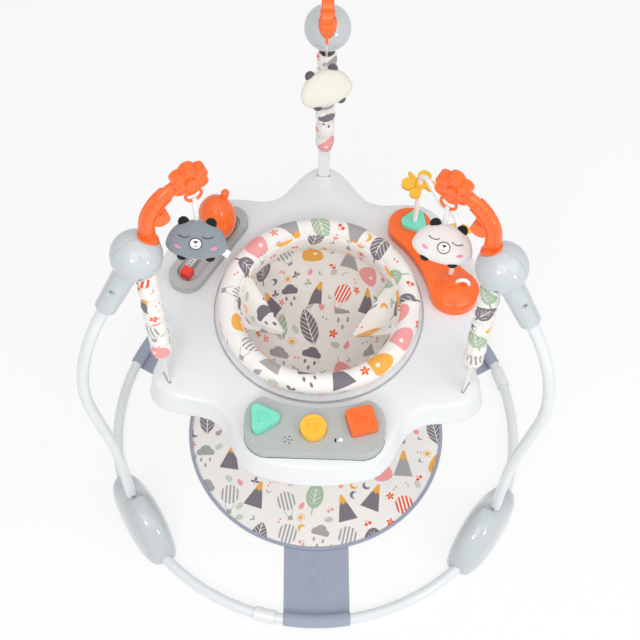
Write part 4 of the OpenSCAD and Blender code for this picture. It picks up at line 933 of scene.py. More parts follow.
@dataclass
class Suspension:
    """Springs, their gathered sleeves and the straps that carry the tray."""

    hang_r: float = 282.05
    coil_r: float = 7.5
    wire_r: float = 1.1
    turns: int = 12
    turn_steps: int = 16
    coil_low: float = 605.0
    coil_high: float = 785.0
    lead_low: float = 576.5
    lead_high: float = 840.4
    sleeve_low: float = 562.0
    sleeve_high: float = 800.2
    sleeve_r: float = 14.6
    puff: float = 3.6
    tuck: float = 2.2
    gathers: int = 7
    neck_r: float = 12.8
    sleeve_t: float = 0.7
    fullness: float = 1.35
    strap_w: float = 20.0
    strap_t: float = 1.8
    strap_low: float = 469.0
    strap_high: float = 577.0
    bar_reach: float = 16.5
    bar_r: float = 3.0
    bar_z: float = 471.2

    def spring(self, leg: Leg) -> Piece:
        """Wind one spring with straight leads on its axis."""
        steps = self.turn_steps * self.turns
        share = np.linspace(0, 1, steps)
        reach = self.coil_r * np.clip(np.minimum(share, 1 - share) * 30, 0, 1)
        angle = 2 * math.pi * self.turns * share
        coil = np.stack([reach * np.cos(angle), reach * np.sin(angle),
                         self.coil_low + (self.coil_high - self.coil_low) * share], 1)
        path = np.concatenate([[(0, 0, self.lead_low)], coil, [(0, 0, self.lead_high)]])
        maker = Maker()
        maker.bar(path + (self.hang_r, 0, 0), self.wire_r, 6)
        return maker.piece(f"coil_spring_{leg.label}", leg.place)

    def sleeve(self, leg: Leg) -> Piece:
        """Gather one printed sleeve, with puffs between the gathers and creases at them."""
        rows, columns = 85, 48
        share = np.linspace(0, 1, rows)[:, None]
        angle = full_turn(columns)[None, :]
        lean = 0.35 * np.sin(angle + 5 * share) + 0.25 * np.sin(2 * angle + 9 * share + leg.value)
        wave = np.abs(np.sin(math.pi * (self.gathers * share + 0.12 * lean))) ** 0.7
        crease = 0.45 * np.sin(9 * angle + 31 * share) + 0.35 * np.sin(13 * angle - 23 * share + leg.value)
        radius = self.sleeve_r - self.tuck + self.puff * wave + crease * (1 - 0.5 * wave)
        ends = np.clip(np.minimum(share, 1 - share) * 26, 0, 1)
        radius = self.neck_r + (radius - self.neck_r) * ends
        z = self.sleeve_low + (self.sleeve_high - self.sleeve_low) * share + 0 * angle
        points = np.stack([self.hang_r + radius * np.cos(angle), radius * np.sin(angle), z], 2)
        around, tall = 2 * math.pi * self.sleeve_r, self.fullness * (self.sleeve_high - self.sleeve_low)
        shift = leg.value / 360 / MM
        spot = rolled(np.linspace(0, around, columns + 1) + shift, np.linspace(0, tall, rows) + shift)
        maker = Maker()
        maker.grid(points, wrap_columns=True, spot=spot)
        piece = maker.piece(f"sleeve_{leg.label}", leg.place)
        thicken(piece, self.sleeve_t)
        f"coil_spring_{leg.label}"
        return piece

    def strap(self, leg: Leg) -> Piece:
        """Make one webbing strap that hangs down to its bar under the tray."""
        rows, columns = 40, 9
        height = np.linspace(self.strap_high, self.strap_low, rows)
        bow = 0.5 * np.sin((self.strap_high - height) / 26)
        across = np.linspace(-self.strap_w / 2, self.strap_w / 2, columns)
        points = np.array([[(self.hang_r + b, y, z) for y in across] for z, b in zip(height, bow)])
        maker = Maker()
        maker.grid(points, spot=rolled(across, height))
        piece = maker.piece(f"tray_strap_{leg.label}", leg.place)
        thicken(piece, self.strap_t)
        return piece

    def strap_bar(self, leg: Leg) -> Piece:
        """Make the bar under the tray that the strap ends on, with rounded ends."""
        share = np.linspace(-1, 1, 15)
        path = [(self.hang_r, s * self.bar_reach, self.bar_z) for s in share]
        maker = Maker()
        maker.bar(path, self.bar_r * (1 - 0.6 * np.abs(share) ** 12), 12)
        return maker.piece(f"strap_bar_{leg.label}", leg.place)

    def build(self) -> None:
        """Make all three sets; the springs and sleeves stay unattached, and the straps and their bars ride on
        the tray.
        """
        first = []
        for leg in Leg:
            top, low = leg.point(self.hang_r, self.sleeve_high), leg.point(self.hang_r, self.sleeve_low)
            coil = dress(self.spring(leg), ZINC)
            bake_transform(coil)
            sleeve = dress(self.sleeve(leg), PRINT)
            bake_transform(sleeve)
            strap = dress(self.strap(leg), TAPE, "tray")
            dress(self.strap_bar(leg), TRAY, "tray")
            first = first or [coil, sleeve, strap]
        for piece, node in zip(first, ("springs", "spring_sleeves", "spring_straps")):
            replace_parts(piece, node)


@dataclass
class FloorMat:
    """Printed mat with a bound edge and three straps that go round the ring."""

    radius: float = 251.2
    sheet_t: float = 1.6
    sheet_z: float = 1.35
    ripple: float = 0.35
    edge_r: float = 254.4
    edge_half_w: float = 3.6
    edge_h: float = 1.5
    edge_z: float = 1.75
    tape_w: float = 30.0
    puckers: int = 90
    pucker: float = 0.06
    ring_r: float = 400.0
    tube_z: float = 13.0
    wrap_r: float = 11.4
    strap_w: float = 124.0
    strap_angles: tuple[float, ...] = (272.0, 152.0, 32.0)
    strap_z: float = 1.6
    strap_gap: float = 0.2
    wrap_from: float = 6.0
    wrap_end: float = 222.0
    run_rows: int = 44
    wrap_rows: int = 34
    strap_t: float = 1.7
    seam_in: float = 4.0
    seam_up: float = 0.9
    seam_run: tuple[float, float] = (262.0, 386.0)
    stitch: tuple[float, float, float] = (3.6, 1.6, 0.35)
    edge_seam_in: float = 2.0
    edge_seam_z: float = 3.3
    edge_stitch: tuple[float, float, float] = (3.4, 1.6, 0.35)
    crease_r: float = 326.0
    creases: tuple[tuple[float, float, float, float], ...] = (
        (0.6, -8.0, 6.5, 3.6), (0.75, 18.0, 5.5, 2.6), (0.4, -26.0, 5.5, 2.2))

    def sheet(self) -> Piece:
        """Cut the round printed sheet, with slight waves."""
        rows, columns = 40, 144
        r = np.linspace(1.0, self.radius, rows)[:, None]
        angle = full_turn(columns)[None, :]
        x, y = r * np.cos(angle), r * np.sin(angle)
        wave = np.sin(x / 31 + 0.4 * np.sin(y / 43)) * np.sin(y / 37 + 1) * (r / self.radius) ** 2
        points = np.stack([x, y, self.sheet_z + self.ripple * wave], 2)

        def spot(_row: int, i: int, j: int) -> tuple[float, float]:
            """Place on the flat mat."""
            return (x[i, j % columns] * MM, y[i, j % columns] * MM)

        maker = Maker()
        maker.grid(points, wrap_columns=True, spot=spot)
        piece = maker.piece("mat_sheet")
        thicken(piece, self.sheet_t)
        return piece

    def binding(self) -> Piece:
        """Fold the binding tape over the mat's edge."""
        columns, sides = 180, 14
        turn, angle = full_turn(sides)[:, None], full_turn(columns)[None, :]
        pucker = 1 + self.pucker * np.sin(self.puckers * angle)
        flat = np.sign(np.sin(turn)) * np.abs(np.sin(turn)) ** 0.6
        r = self.edge_r + self.edge_half_w * np.cos(turn) + 0 * angle
        z = self.edge_z + self.edge_h * flat * pucker
        points = np.stack([r * np.cos(angle), r * np.sin(angle), z], 2)
        around = 2 * math.pi * self.edge_r
        spot = rolled(np.linspace(0, around, columns + 1), np.linspace(0, self.tape_w, sides + 1))
        maker = Maker()
        maker.grid(points, wrap_rows=True, wrap_columns=True, spot=spot)
        return maker.piece("mat_edge")

    def strap_line(self) -> np.ndarray:
        """Middle line of a strap, out from the mat's edge and round the tube, in the plane of its angle."""
        start = self.edge_r + self.edge_half_w + self.strap_gap
        run = [(r, self.strap_z) for r in np.linspace(start, self.ring_r - self.wrap_from, self.run_rows)]
        turns = np.radians(np.linspace(-90, self.wrap_end, self.wrap_rows))
        wrap = [(self.ring_r + self.wrap_r * math.cos(t), self.tube_z + self.wrap_r * math.sin(t))
                for t in turns]
        return np.array(run + wrap)

    def crease(self, r: float, y: float) -> float:
        """Height of the slanting creases in a strap, each a slant, a place, a width and a height."""
        return sum(h * math.exp(-(((y - at) - slant * (r - self.crease_r)) / w) ** 2)
                   for slant, at, w, h in self.creases)

    def strap(self, number: int, angle: float) -> Piece:
        """Cut one wide strap, and wrap its end round the ring.

        Args:
            number: counts the straps.
            angle: where it lies round the ring.

        Returns:
            The strap.
        """
        line = self.strap_line()
        along = lengths(line)
        across = np.linspace(-1, 1, 49) * self.strap_w / 2
        loose = np.sin(math.pi * np.clip(np.arange(len(line)) / (self.run_rows - 1), 0, 1))
        place = Matrix.Rotation(math.radians(angle), 4, "Z")
        points = [[(math.sqrt(r * r - y * y), y, z + slack * self.crease(r, y)) for y in across]
                  for (r, z), slack in zip(line, loose)]
        maker = Maker()
        maker.grid(np.array(points), spot=rolled(across, along))
        piece = maker.piece(f"mat_strap_{number}", place)
        thicken(piece, self.strap_t)
        seam = Maker()
        for side in (-1, 1):
            y = side * (self.strap_w / 2 - self.seam_in)
            run = [(math.sqrt(r * r - y * y), y, self.strap_z + self.seam_up)
                   for r in np.linspace(*self.seam_run, 60)]
            stitches(seam, np.array(run), *self.stitch)
        dress(seam.piece(f"mat_strap_seam_{number}", place), THREAD_PALE, "frame")
        return piece

    def build(self) -> None:
        """Make the mat, its edge, its straps and their seams."""
        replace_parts(dress(self.sheet(), PRINT, "frame"), "floor_mat")
        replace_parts(dress(self.binding(), LILAC, "frame"), "mat_binding")
        seam = Maker()
        line = ring_points(self.edge_r - self.edge_seam_in, self.edge_seam_z, 720, 0, 359.9)
        stitches(seam, line, *self.edge_stitch)
        dress(seam.piece("mat_edge_seam"), THREAD_PALE, "frame")
        straps = [dress(self.strap(n, a), LILAC, "frame")
                  for n, a in enumerate(self.strap_angles)]
        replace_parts(straps[0], "mat_straps")


@dataclass
class Seat:
    """Padded rim and the printed bucket that hangs from it."""

    rim_r: float = 153.0
    rim_z: float = 494.5
    rim_half: float = 17.6
    rim_flat: float = 478.2
    rim_print: float = 400.0
    tucks: int = 58
    tuck: float = 0.05
    sewn_band: float = 0.6
    pressure: float = 4.0
    give: float = 2.4
    bucket_r: float = 148.0
    bucket_top: float = 477.0
    bucket_low: float = 288.5
    bucket_flat: float = 620.0
    bulge: float = 2.6
    folds: int = 11
    fold: float = 0.018
    bottom_print: float = 2000.0
    lip: tuple[tuple[float, float], ...] = (
        (137.0, 498.0), (135.2, 491.0), (134.8, 484.0), (136.0, 474.0), (139.0, 462.0), (142.5, 449.0))
    wall_from: float = 7.4
    wing_r: float = 134.6
    cylinder_rows: int = 33
    hole_r: float = 44.0
    hole_side: float = 44.0
    hole_z: float = 353.0
    hole_tilt: float = 12.0
    wing_from: float = 154.0
    wing_to: float = 201.0
    wing_top: float = 489.0
    wing_tip: tuple[float, float, float] = (-56.0, -6.0, 398.0)
    wing_sag: tuple[float, float, float] = (-11.0, 0.0, -13.0)
    wing_l: float = 130.0
    wing_reach: float = 0.96
    wing_hem: float = 5.0
    hem_from: float = 0.8
    wing_cut: float = 118.0
    wing_taper: float = 0.8
    wing_print: float = 3000.0
    cloth_t: float = 2.4
    binding_r: float = 2.6
    reach_to_edge: float = 2.2
    pad_columns: int = 168

    def rim(self) -> Piece:
        """Sew and fill the padded rim."""
        sides = 26
        turn, angle = full_turn(sides)[:, None], full_turn(self.pad_columns)[None, :]
        low = np.clip(-np.sin(turn), 0, 1)
        tuck = 1 - self.tuck * low * (0.5 + 0.5 * np.sin(self.tucks * angle + 2 * np.sin(7 * angle)))
        soft = 1 + 0.02 * np.sin(9 * angle + 1) * np.sin(turn + 0.6) + 0.015 * np.sin(17 * angle)
        half = self.rim_half * tuck * soft
        r = self.rim_r + half * np.cos(turn)
        z = np.maximum(self.rim_z + half * np.sin(turn), self.rim_flat + 0 * angle)
        points = np.stack([r * np.cos(angle), r * np.sin(angle), z], 2)
        around, girth = 2 * math.pi * self.rim_r, 2 * math.pi * self.rim_half
        wound = np.linspace(0, girth, sides + 1) + self.rim_print
        spot = rolled(np.linspace(0, around, self.pad_columns + 1), wound)
        maker = Maker()
        maker.grid(points, wrap_rows=True, wrap_columns=True, spot=spot)
        piece = maker.piece("seat_rim_cover")
        inflate(piece, lambda p: p[:, 2] < self.rim_flat + self.sewn_band, self.pressure, self.give)
        soften(piece)
        return piece

    def bucket_point(self, angle: float, drop: float) -> np.ndarray:
        """Point of the bucket.

        Args:
            angle: angle round the seat.
            drop: 0 at the top, 90 in the middle of the bottom.

        Returns:
            The point.
        """
        power = 2 / self.bulge
        c, s = math.cos(math.radians(drop)) ** power, math.sin(math.radians(drop)) ** power
        fold = 1 + self.fold * math.sin(math.radians(angle) * self.folds + 3 * s) * s * c * 2
        r = self.bucket_r * max(c, 0.002) * fold
        z = self.bucket_top - (self.bucket_top - self.bucket_low) * s
        return np.array([r * math.cos(math.radians(angle)), r * math.sin(math.radians(angle)), z])

    def hole_frame(self, side: int) -> tuple[np.ndarray, np.ndarray, np.ndarray]:
        """Axis of a leg hole and two directions square to it.

        Args:
            side: -1 for the left hole, 1 for the right.

        Returns:
            Unit vectors along the axis, across it and up.
        """
        a, t = math.radians(270 + side * self.hole_side), math.radians(self.hole_tilt)
        axis = np.array([math.cos(a) * math.cos(t), math.sin(a) * math.cos(t), -math.sin(t)])
        across = np.array([-math.sin(a), math.cos(a), 0])
        return axis, across, np.cross(axis, across)

    def hole_edge(self, side: int, turn: float) -> np.ndarray:
        """Point on a leg hole's edge, on the bucket's surface.

        Args:
            side: -1 for the left hole, 1 for the right.
            turn: angle round the hole.

        Returns:
            The point.
        """
        axis, across, up = self.hole_frame(side)
        offset = self.hole_r * (math.cos(turn) * across + math.sin(turn) * up)
        near, far = 0.0, 2 * self.bucket_r
        for _ in range(40):
            middle = (near + far) / 2
            p = np.array([0, 0, self.hole_z]) + offset + middle * axis
            deep = (self.bucket_top - p[2]) / (self.bucket_top - self.bucket_low)
            wide = math.hypot(p[0], p[1]) / self.bucket_r
            inside = wide ** self.bulge + max(deep, 0) ** self.bulge < 1
            near, far = (middle, far) if inside else (near, middle)
        return np.array([0, 0, self.hole_z]) + offset + near * axis

    def bucket(self) -> Piece:
        """Hang the bucket from the rim, with its two leg holes."""
        columns = 150
        angles = np.linspace(0, 360, columns, endpoint=False)
        drops = np.linspace(self.wall_from, 90, 52)
        lip = [ring_points(r, z, columns) for r, z in self.lip]
        wall = [[self.bucket_point(a, d) for a in angles] for d in drops]
        points = np.array(lip + wall)
        down = lengths(points[:, 0])

        def spot(row: int, i: int, j: int) -> tuple[float, float]:
            """Place on the flat panels: the wall is rolled out, and the bottom is a disc."""
            if row < self.cylinder_rows:
                return (self.bucket_r * 2 * math.pi * j / columns * MM, -down[i] * MM)
            x, y, _ = points[i, j % columns]
            return ((x + self.bottom_print) * MM, (y + self.bottom_print) * MM)

        holes = [self.hole_frame(s) for s in (-1, 1)]
        middle = np.array([0, 0, self.hole_z])

        def gap(p: np.ndarray, side: int) -> float:
            """Distance from a point to a leg hole's edge, below zero in the hole."""
            axis = holes[side][0]
            v = p - middle
            ahead = float(v @ axis)
            return float(np.linalg.norm(v - ahead * axis)) - self.hole_r if ahead > 0 else 1e3

        maker = Maker()
        maker.grid(points, wrap_columns=True, spot=spot)
        near = [[gap(p, side) for side in (0, 1)] for p in maker.points]
        kept = [n for n, f in enumerate(maker.faces) if all(min(near[v]) > -self.reach_to_edge for v in f)]
        spots = [maker.spots[4 * n:4 * n + 4] for n in kept]
        maker.faces = [maker.faces[n] for n in kept]
        maker.spots = [s for four in spots for s in four]
        for index, distances in enumerate(near):
            side = int(distances[1] < distances[0])
            if -self.reach_to_edge <= distances[side] < self.reach_to_edge:
                _axis, across, up = holes[side]
                v = maker.points[index] - middle
                maker.points[index] = self.hole_edge(2 * side - 1, math.atan2(v @ up, v @ across))
        piece = maker.piece("seat_bucket", merge_mm=0.02)
        loose = bmesh.new()
        loose.from_mesh(piece.data)
        bmesh.ops.delete(loose, geom=[v for v in loose.verts if not v.link_faces], context="VERTS")
        loose.to_mesh(piece.data)
        loose.free()
        thicken(piece, self.cloth_t, -1)
        side = self.bucket_flat * MM
        return piece

    def hole_bindings(self) -> Piece:
        """Bind the edges of both leg holes with tape."""
        maker = Maker()
        for side in (-1, 1):
            maker.bar([self.hole_edge(side, t) for t in full_turn(72)], self.binding_r, 8, closed=True)
        return maker.piece("leg_hole_bindings")

    def wing(self, side: int) -> Piece:
        """Make one side panel, which runs from the rim in to a point beside the leg hole.

        Args:
            side: -1 for the left, 1 for the right.

        Returns:
            The panel.
        """
        rows, columns = 26, 34
        tip = np.array(self.wing_tip)
        points = np.zeros((rows, columns, 3))
        for i, v in enumerate(np.linspace(0, self.wing_reach, rows)):
            for j, u in enumerate(np.linspace(0, 1, columns)):
                a = math.radians(self.wing_from + (self.wing_to - self.wing_from) * u)
                top = np.array([self.wing_r * math.cos(a), self.wing_r * math.sin(a), self.wing_top])
                sag = math.sin(math.pi * v) * math.sin(math.pi * u)
                hem = self.wing_hem * max(0.0, abs(2 * u - 1) - self.hem_from) / (1 - self.hem_from)
                point = top * (1 - v) + tip * v + sag * np.array(self.wing_sag) - (0, 0, hem)
                points[i, j] = point * (-side, 1, 1)
        width = math.radians(self.wing_to - self.wing_from) * self.wing_r

        def spot(_row: int, i: int, j: int) -> tuple[float, float]:
            """Place on the flat panel."""
            down = i / (rows - 1)
            across = width * (j / (columns - 1) - 0.5) * (1 - self.wing_taper * down)
            return ((across + self.wing_print) * MM + side, -self.wing_cut * down * MM)

        maker = Maker()
        maker.grid(points, spot=spot)
        piece = maker.piece(f"seat_wing_{'left' if side < 0 else 'right'}")
        thicken(piece, self.cloth_t)
        return piece

    def build(self) -> None:
        """Make the rim, the bucket, its bindings and its side panels."""
        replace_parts(dress(self.rim(), PRINT, "seat"), "seat_rim_pad")
        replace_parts(dress(self.bucket(), PRINT, "seat"), "seat_sling")
        dress(self.hole_bindings(), PIPING, "seat")
        for side in (-1, 1):
            dress(self.wing(side), PRINT, "seat")


@dataclass
class ToyLook:
    """Colours and stance of one soft toy.

    Fields:
        leg: the leg that it hangs from.
        slot: the record's material slot; not used.
        pile: finish of its body.
        ears: finish of its ears and feet.
        turn: which way it faces about Z.
        tilt: lean to its left as seen from the front.
        ribbon: length of its ribbon.
        label: whether a bare label is sewn to its side.
    """

    leg: Leg
    slot: str
    pile: Finish
    ears: Finish
    turn: float
    tilt: float
    ribbon: float
    label: bool = False


@dataclass
class SoftToys:
    """Three stuffed heads on ribbons."""

    half_w: float = 40.0
    half_h: float = 27.0
    half_t: float = 11.5
    sewn_band: float = 0.4
    pressure: float = 4.0
    give: float = 3.0
    seam_r: float = 0.7
    hang_r: float = 196.138
    top_h: float = 28.0
    pitch: float = 45.0
    loop_low: float = 912.38
    ribbon_w: float = 6.5
    ribbon_t: float = 0.6
    ribbon_in: float = 5.0
    ribbon_gap: float = 0.8
    ribbon_bow: float = 0.5
    loop_r: float = 3.2
    loop_neck: float = 3.4
    least_flat_w: float = 10.0
    muzzle: tuple[float, float, float, float] = (0.0, -3.5, 8.2, 7.6)
    muzzle_line: float = 0.3
    muzzle_r: float = 0.6
    nose: tuple[tuple[float, float, float], ...] = ((2.8, -0.4, 1.1), (1.4, -1.8, 1.0))
    lip: tuple[float, float] = (-2.2, -7.2)
    smile: tuple[float, float, float, float] = (0.0, -5.4, 3.8, 2.2)
    mouth_r: float = 0.45
    cheek: tuple[float, float, float, float] = (25.0, -9.0, 4.8, 2.2)
    cheek_lean: float = 0.45
    eye: tuple[float, float, float, float] = (16.0, 9.0, 7.5, 4.5)
    eye_r: float = 0.5
    lashes: tuple[float, ...] = (6.4, 4.0)
    lash: tuple[float, float] = (2.6, 0.6)
    lash_r: float = 0.36
    thread_up: float = 0.55
    felt_up: float = 0.15
    felt_t: float = 0.7
    ear: tuple[float, float, float] = (19.0, 8.2, 8.0)
    ear_in: float = 3.0
    ear_lean: float = 0.35
    foot: tuple[float, float, float] = (20.0, 7.0, 5.4)
    foot_in: float = 2.5
    foot_lean: float = 0.3
    limb_half_t: float = 4.6
    label_size: tuple[float, float] = (13.0, 11.0)
    label_t: float = 0.4
    label_at: tuple[float, float] = (37.0, -7.0)
    label_across: tuple[float, float] = (0.86, -0.5)
    label_down: tuple[float, float] = (-0.45, -0.9)
    label_curl: float = 0.5
    looks: tuple[ToyLook, ...] = field(default_factory=lambda: (
        ToyLook(Leg.REAR, "cream_plush", PLUSH_CREAM, PLUSH_SLATE, 200, 18, 60),
        ToyLook(Leg.LEFT, "grey_plush", PLUSH_GREY, PLUSH_BLACK, 0, 2, 46, True),
        ToyLook(Leg.RIGHT, "pale_plush", PLUSH_PALE, PLUSH_BLACK, 0, 14, 36)))

    def outline(self, a: float) -> tuple[float, float]:
        """Edge of the head, wide and low, at an angle from its middle."""
        c, s = math.cos(a), math.sin(a)
        cheek = 1 + 0.05 * math.exp(-((s + 0.35) / 0.3) ** 2)
        return (self.half_w * math.copysign(abs(c) ** 0.85, c) * (1 - 0.14 * s) * cheek,
                self.half_h * math.copysign(abs(s) ** 0.95, s))

    def head(self, name: str) -> Piece:
        """Sew and fill a head, in its own frame: X to its left, -Y to its front, Z up."""
        bands, columns = 19, 72
        points = np.zeros((bands, columns, 3))
        for i, b in enumerate(np.radians(np.linspace(-89.6, 89.6, bands))):
            size = math.cos(b) ** 0.65
            for j, a in enumerate(full_turn(columns)):
                x, z = self.outline(a)
                points[i, j] = (x * size, self.half_t * math.sin(b), z * size)
        maker = Maker()
        maker.grid(points, wrap_columns=True)
        maker.cap(0, columns)
        maker.cap((bands - 1) * columns, columns, flip=True)
        piece = maker.piece(name)
        inflate(piece, lambda p: np.abs(p[:, 1]) < self.sewn_band, self.pressure, self.give)
        return piece

    def cushion(self, maker: Maker, x: float, z: float, wide: float, tall: float, lean: float) -> None:
        """Add a small stuffed half-round, for an ear or a foot.

        Args:
            maker: gathers the toy's ears and feet.
            x, z: its middle.
            wide: half its width.
            tall: half its height.
            lean: its turn in the head's plane.
        """
        rows, columns = 11, 28
        c, s = math.cos(lean), math.sin(lean)
        points = np.zeros((rows, columns, 3))
        for i, b in enumerate(np.linspace(-math.pi / 2 + 0.03, math.pi / 2 - 0.03, rows)):
            size = math.cos(b) ** 0.7
            for j, a in enumerate(full_turn(columns)):
                u, v = wide * math.cos(a) * size, tall * math.sin(a) * size
                points[i, j] = (x + u * c - v * s, self.limb_half_t * math.sin(b), z + u * s + v * c)
        first = len(maker.points)
        maker.grid(points, wrap_columns=True)
        maker.cap(first, columns)
        maker.cap(first + (rows - 1) * columns, columns, flip=True)

    def surface(self, tree: BVHTree, x: float, z: float, lift: float) -> np.ndarray:
        """Point just in front of the head.

        Args:
            tree: the head's mesh, as a search tree.
            x, z: where to look, from the head's middle.
            lift: distance in front of the cloth.

        Returns:
            The point.
        """
        hit = tree.ray_cast(Vector((x * MM, -0.1, z * MM)), Vector((0, 1, 0)))[0]
        y = hit.y / MM if hit else 0.0
        return np.array([x, y - lift, z])

    def patch(self, tree: BVHTree, maker: Maker, x: float, z: float, wide: float, tall: float,
              lean: float) -> None:
        """Lay a domed oval of felt on the face.

        Args:
            tree: the head's mesh, as a search tree.
            maker: gathers the patches.
            x, z: the oval's middle.
            wide: half its width.
            tall: half its height.
            lean: its turn in the face's plane.
        """
        rings, columns = 6, 28
        c, s = math.cos(lean), math.sin(lean)
        points = np.zeros((rings, columns, 3))
        for i, share in enumerate(np.linspace(1, 0.06, rings)):
            lift = self.felt_up + self.felt_t * (1 - share ** 4)
            for j, a in enumerate(full_turn(columns)):
                u, v = wide * share * math.cos(a), tall * share * math.sin(a)
                points[i, j] = self.surface(tree, x + u * c - v * s, z + u * s + v * c, lift)
        first = len(maker.points)
        maker.grid(points, wrap_columns=True)
        maker.cap(first + (rings - 1) * columns, columns)

    def thread(self, tree: BVHTree, maker: Maker, path: Sequence[tuple[float, float]], radius: float) -> None:
        """Sew a thread along a line on the face.

        Args:
            tree: the head's mesh, as a search tree.
            maker: gathers the threads.
            path: points across and up the face.
            radius: the thread's radius.
        """
        line = np.array(path, float)
        share = np.linspace(0, len(line) - 1, 5 * len(line))
        smooth = np.stack([np.interp(share, range(len(line)), line[:, k]) for k in (0, 1)], 1)
        maker.bar([self.surface(tree, x, z, self.thread_up) for x, z in smooth], radius, 6)

    def arc(self, oval: tuple[float, float, float, float], start: float,
            end: float) -> list[tuple[float, float]]:
        """Points of an arc on the face, of an oval with its middle and half sizes."""
        x, z, wide, tall = oval
        turns = np.radians(np.linspace(start, end, 9 if end - start < 360 else 25))
        return [(x + wide * math.cos(t), z + tall * math.sin(t)) for t in turns]

    def face(self, look: ToyLook, head: Piece, place: Matrix, body: str) -> None:
        """Sew on the muzzle, the closed eyes and the cheeks.

        Args:
            look: the toy's look.
            head: its head, in its own frame.
            place: matrix from that frame to the model's frame.
            body: the body that it rides on.
        """
        mesh = head.data
        tree = BVHTree.FromPolygons([v.co for v in mesh.vertices], [tuple(p.vertices) for p in mesh.polygons])
        muzzle, cheeks, lines = Maker(), Maker(), Maker()
        self.patch(tree, muzzle, *self.muzzle, 0)
        cheek_x, *cheek = self.cheek
        eye_x, eye_z, eye_wide, eye_tall = self.eye
        for side in (-1, 1):
            self.patch(tree, cheeks, side * cheek_x, *cheek, side * self.cheek_lean)
            x = side * eye_x
            self.thread(tree, lines, self.arc((x, eye_z, eye_wide, eye_tall), 200, 340), self.eye_r)
            out, rise = self.lash
            for lash in self.lashes:
                low = eye_z - eye_tall * math.sqrt(1 - (lash / eye_wide) ** 2)
                tip = (x + side * (lash + out), low + rise)
                self.thread(tree, lines, [(x + side * lash, low), tip], self.lash_r)
        x, z, wide, tall = self.muzzle
        edge = (x, z, wide + self.muzzle_line, tall + self.muzzle_line)
        self.thread(tree, lines, self.arc(edge, 0, 360), self.muzzle_r)
        for half, up, radius in self.nose:
            self.thread(tree, lines, [(-half, up), (half, up)], radius)
        self.thread(tree, lines, [(0, up) for up in self.lip], self.mouth_r)
        self.thread(tree, lines, self.arc(self.smile, 215, 325), self.mouth_r)
        for maker, name, finish in ((muzzle, "muzzle", FELT_WHITE), (cheeks, "cheeks", FELT_ROSE),
                                    (lines, "stitching", THREAD_DARK)):
            dress(maker.piece(f"toy_{name}_{look.leg.label}", place), finish, body)

    def ribbon(self, look: ToyLook) -> Piece:
        """Loop one ribbon through its ring and down into the head."""
        leg = look.leg
        low = self.loop_low - look.ribbon - self.ribbon_in
        rise = np.linspace(low, self.loop_low - self.loop_neck, 24)
        up = [(-self.ribbon_gap - self.ribbon_bow * math.sin((z - low) / 13), z) for z in rise]
        over = [(-self.loop_r * math.cos(t), self.loop_low + self.loop_r * math.sin(t))
                for t in np.linspace(-0.6, math.pi + 0.6, 16)]
        line = np.array(up + over + [(-y, z) for y, z in up[::-1]])
        along = lengths(line)
        across = np.linspace(-0.5, 0.5, 5) * self.ribbon_w
        points = np.array([[(self.hang_r + x, y, z) for x in across] for y, z in line])
        maker = Maker()
        maker.grid(points, spot=rolled(across, along))
        piece = maker.piece(f"toy_ribbon_{leg.label}", leg.place)
        thicken(piece, self.ribbon_t)
        f"toy_arm_{leg.label}"
        return piece

    def label(self, look: ToyLook, place: Matrix, body: str) -> None:
        """Sew a small bare label into the side seam."""
        wide, tall = self.label_size
        (x, z), (ux, uz), (vx, vz) = self.label_at, self.label_across, self.label_down
        points = [[(x + u * ux + v * vx, self.label_curl * math.sin(u / 4), z + u * uz + v * vz)
                   for u in np.linspace(0, wide, 8)] for v in np.linspace(0, tall, 6)]
        maker = Maker()
        maker.grid(np.array(points))
        piece = maker.piece(f"toy_label_{look.leg.label}", place)
        thicken(piece, self.label_t)
        dress(piece, FELT_WHITE, body)
        f"toy_head_{look.leg.label}"

    def place(self, look: ToyLook) -> Matrix:
        """Matrix from a head's own frame to the model's: it leans back from its ribbon's seam."""
        turns = {"X": -self.pitch, "Y": look.tilt, "Z": look.turn}
        about = {axis: Matrix.Rotation(math.radians(angle), 4, axis) for axis, angle in turns.items()}
        top = Matrix.Translation(look.leg.point(self.hang_r, self.loop_low - look.ribbon))
        return top @ about["X"] @ Matrix.Translation((0, 0, -self.top_h * MM)) @ about["Z"] @ about["Y"]

    def toy(self, look: ToyLook) -> None:
        """Make one toy with its ribbon."""
        body = f"toy_{look.leg.label}"
        place = self.place(look)
        head = self.head(f"toy_head_{look.leg.label}")
        limbs = Maker()
        for side in (-1, 1):
            ear_x, *ear = self.ear
            foot_x, *foot = self.foot
            self.cushion(limbs, side * ear_x, self.half_h - self.ear_in, *ear, -side * self.ear_lean)
            self.cushion(limbs, side * foot_x, -self.half_h + self.foot_in, *foot, side * self.foot_lean)
        ears = limbs.piece(f"toy_ears_and_feet_{look.leg.label}", place)
        soften(ears)
        dress(ears, look.ears, body)
        self.face(look, head, place, body)
        seam = Maker()
        seam.bar([(x, 0, z) for x, z in map(self.outline, full_turn(90))], self.seam_r, 6, closed=True)
        dress(seam.piece(f"toy_seam_{look.leg.label}", place), look.pile, body)
        head.data.transform(place)
        soften(head)
        dress(head, look.pile, body)
        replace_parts(head, f"soft_toy_{look.leg.label}")
        dress(self.ribbon(look), TAPE, body)
        if look.label:
            self.label(look, place, body)

    def build(self) -> None:
        """Make the three toys."""
        for look in self.looks:
            self.toy(look)


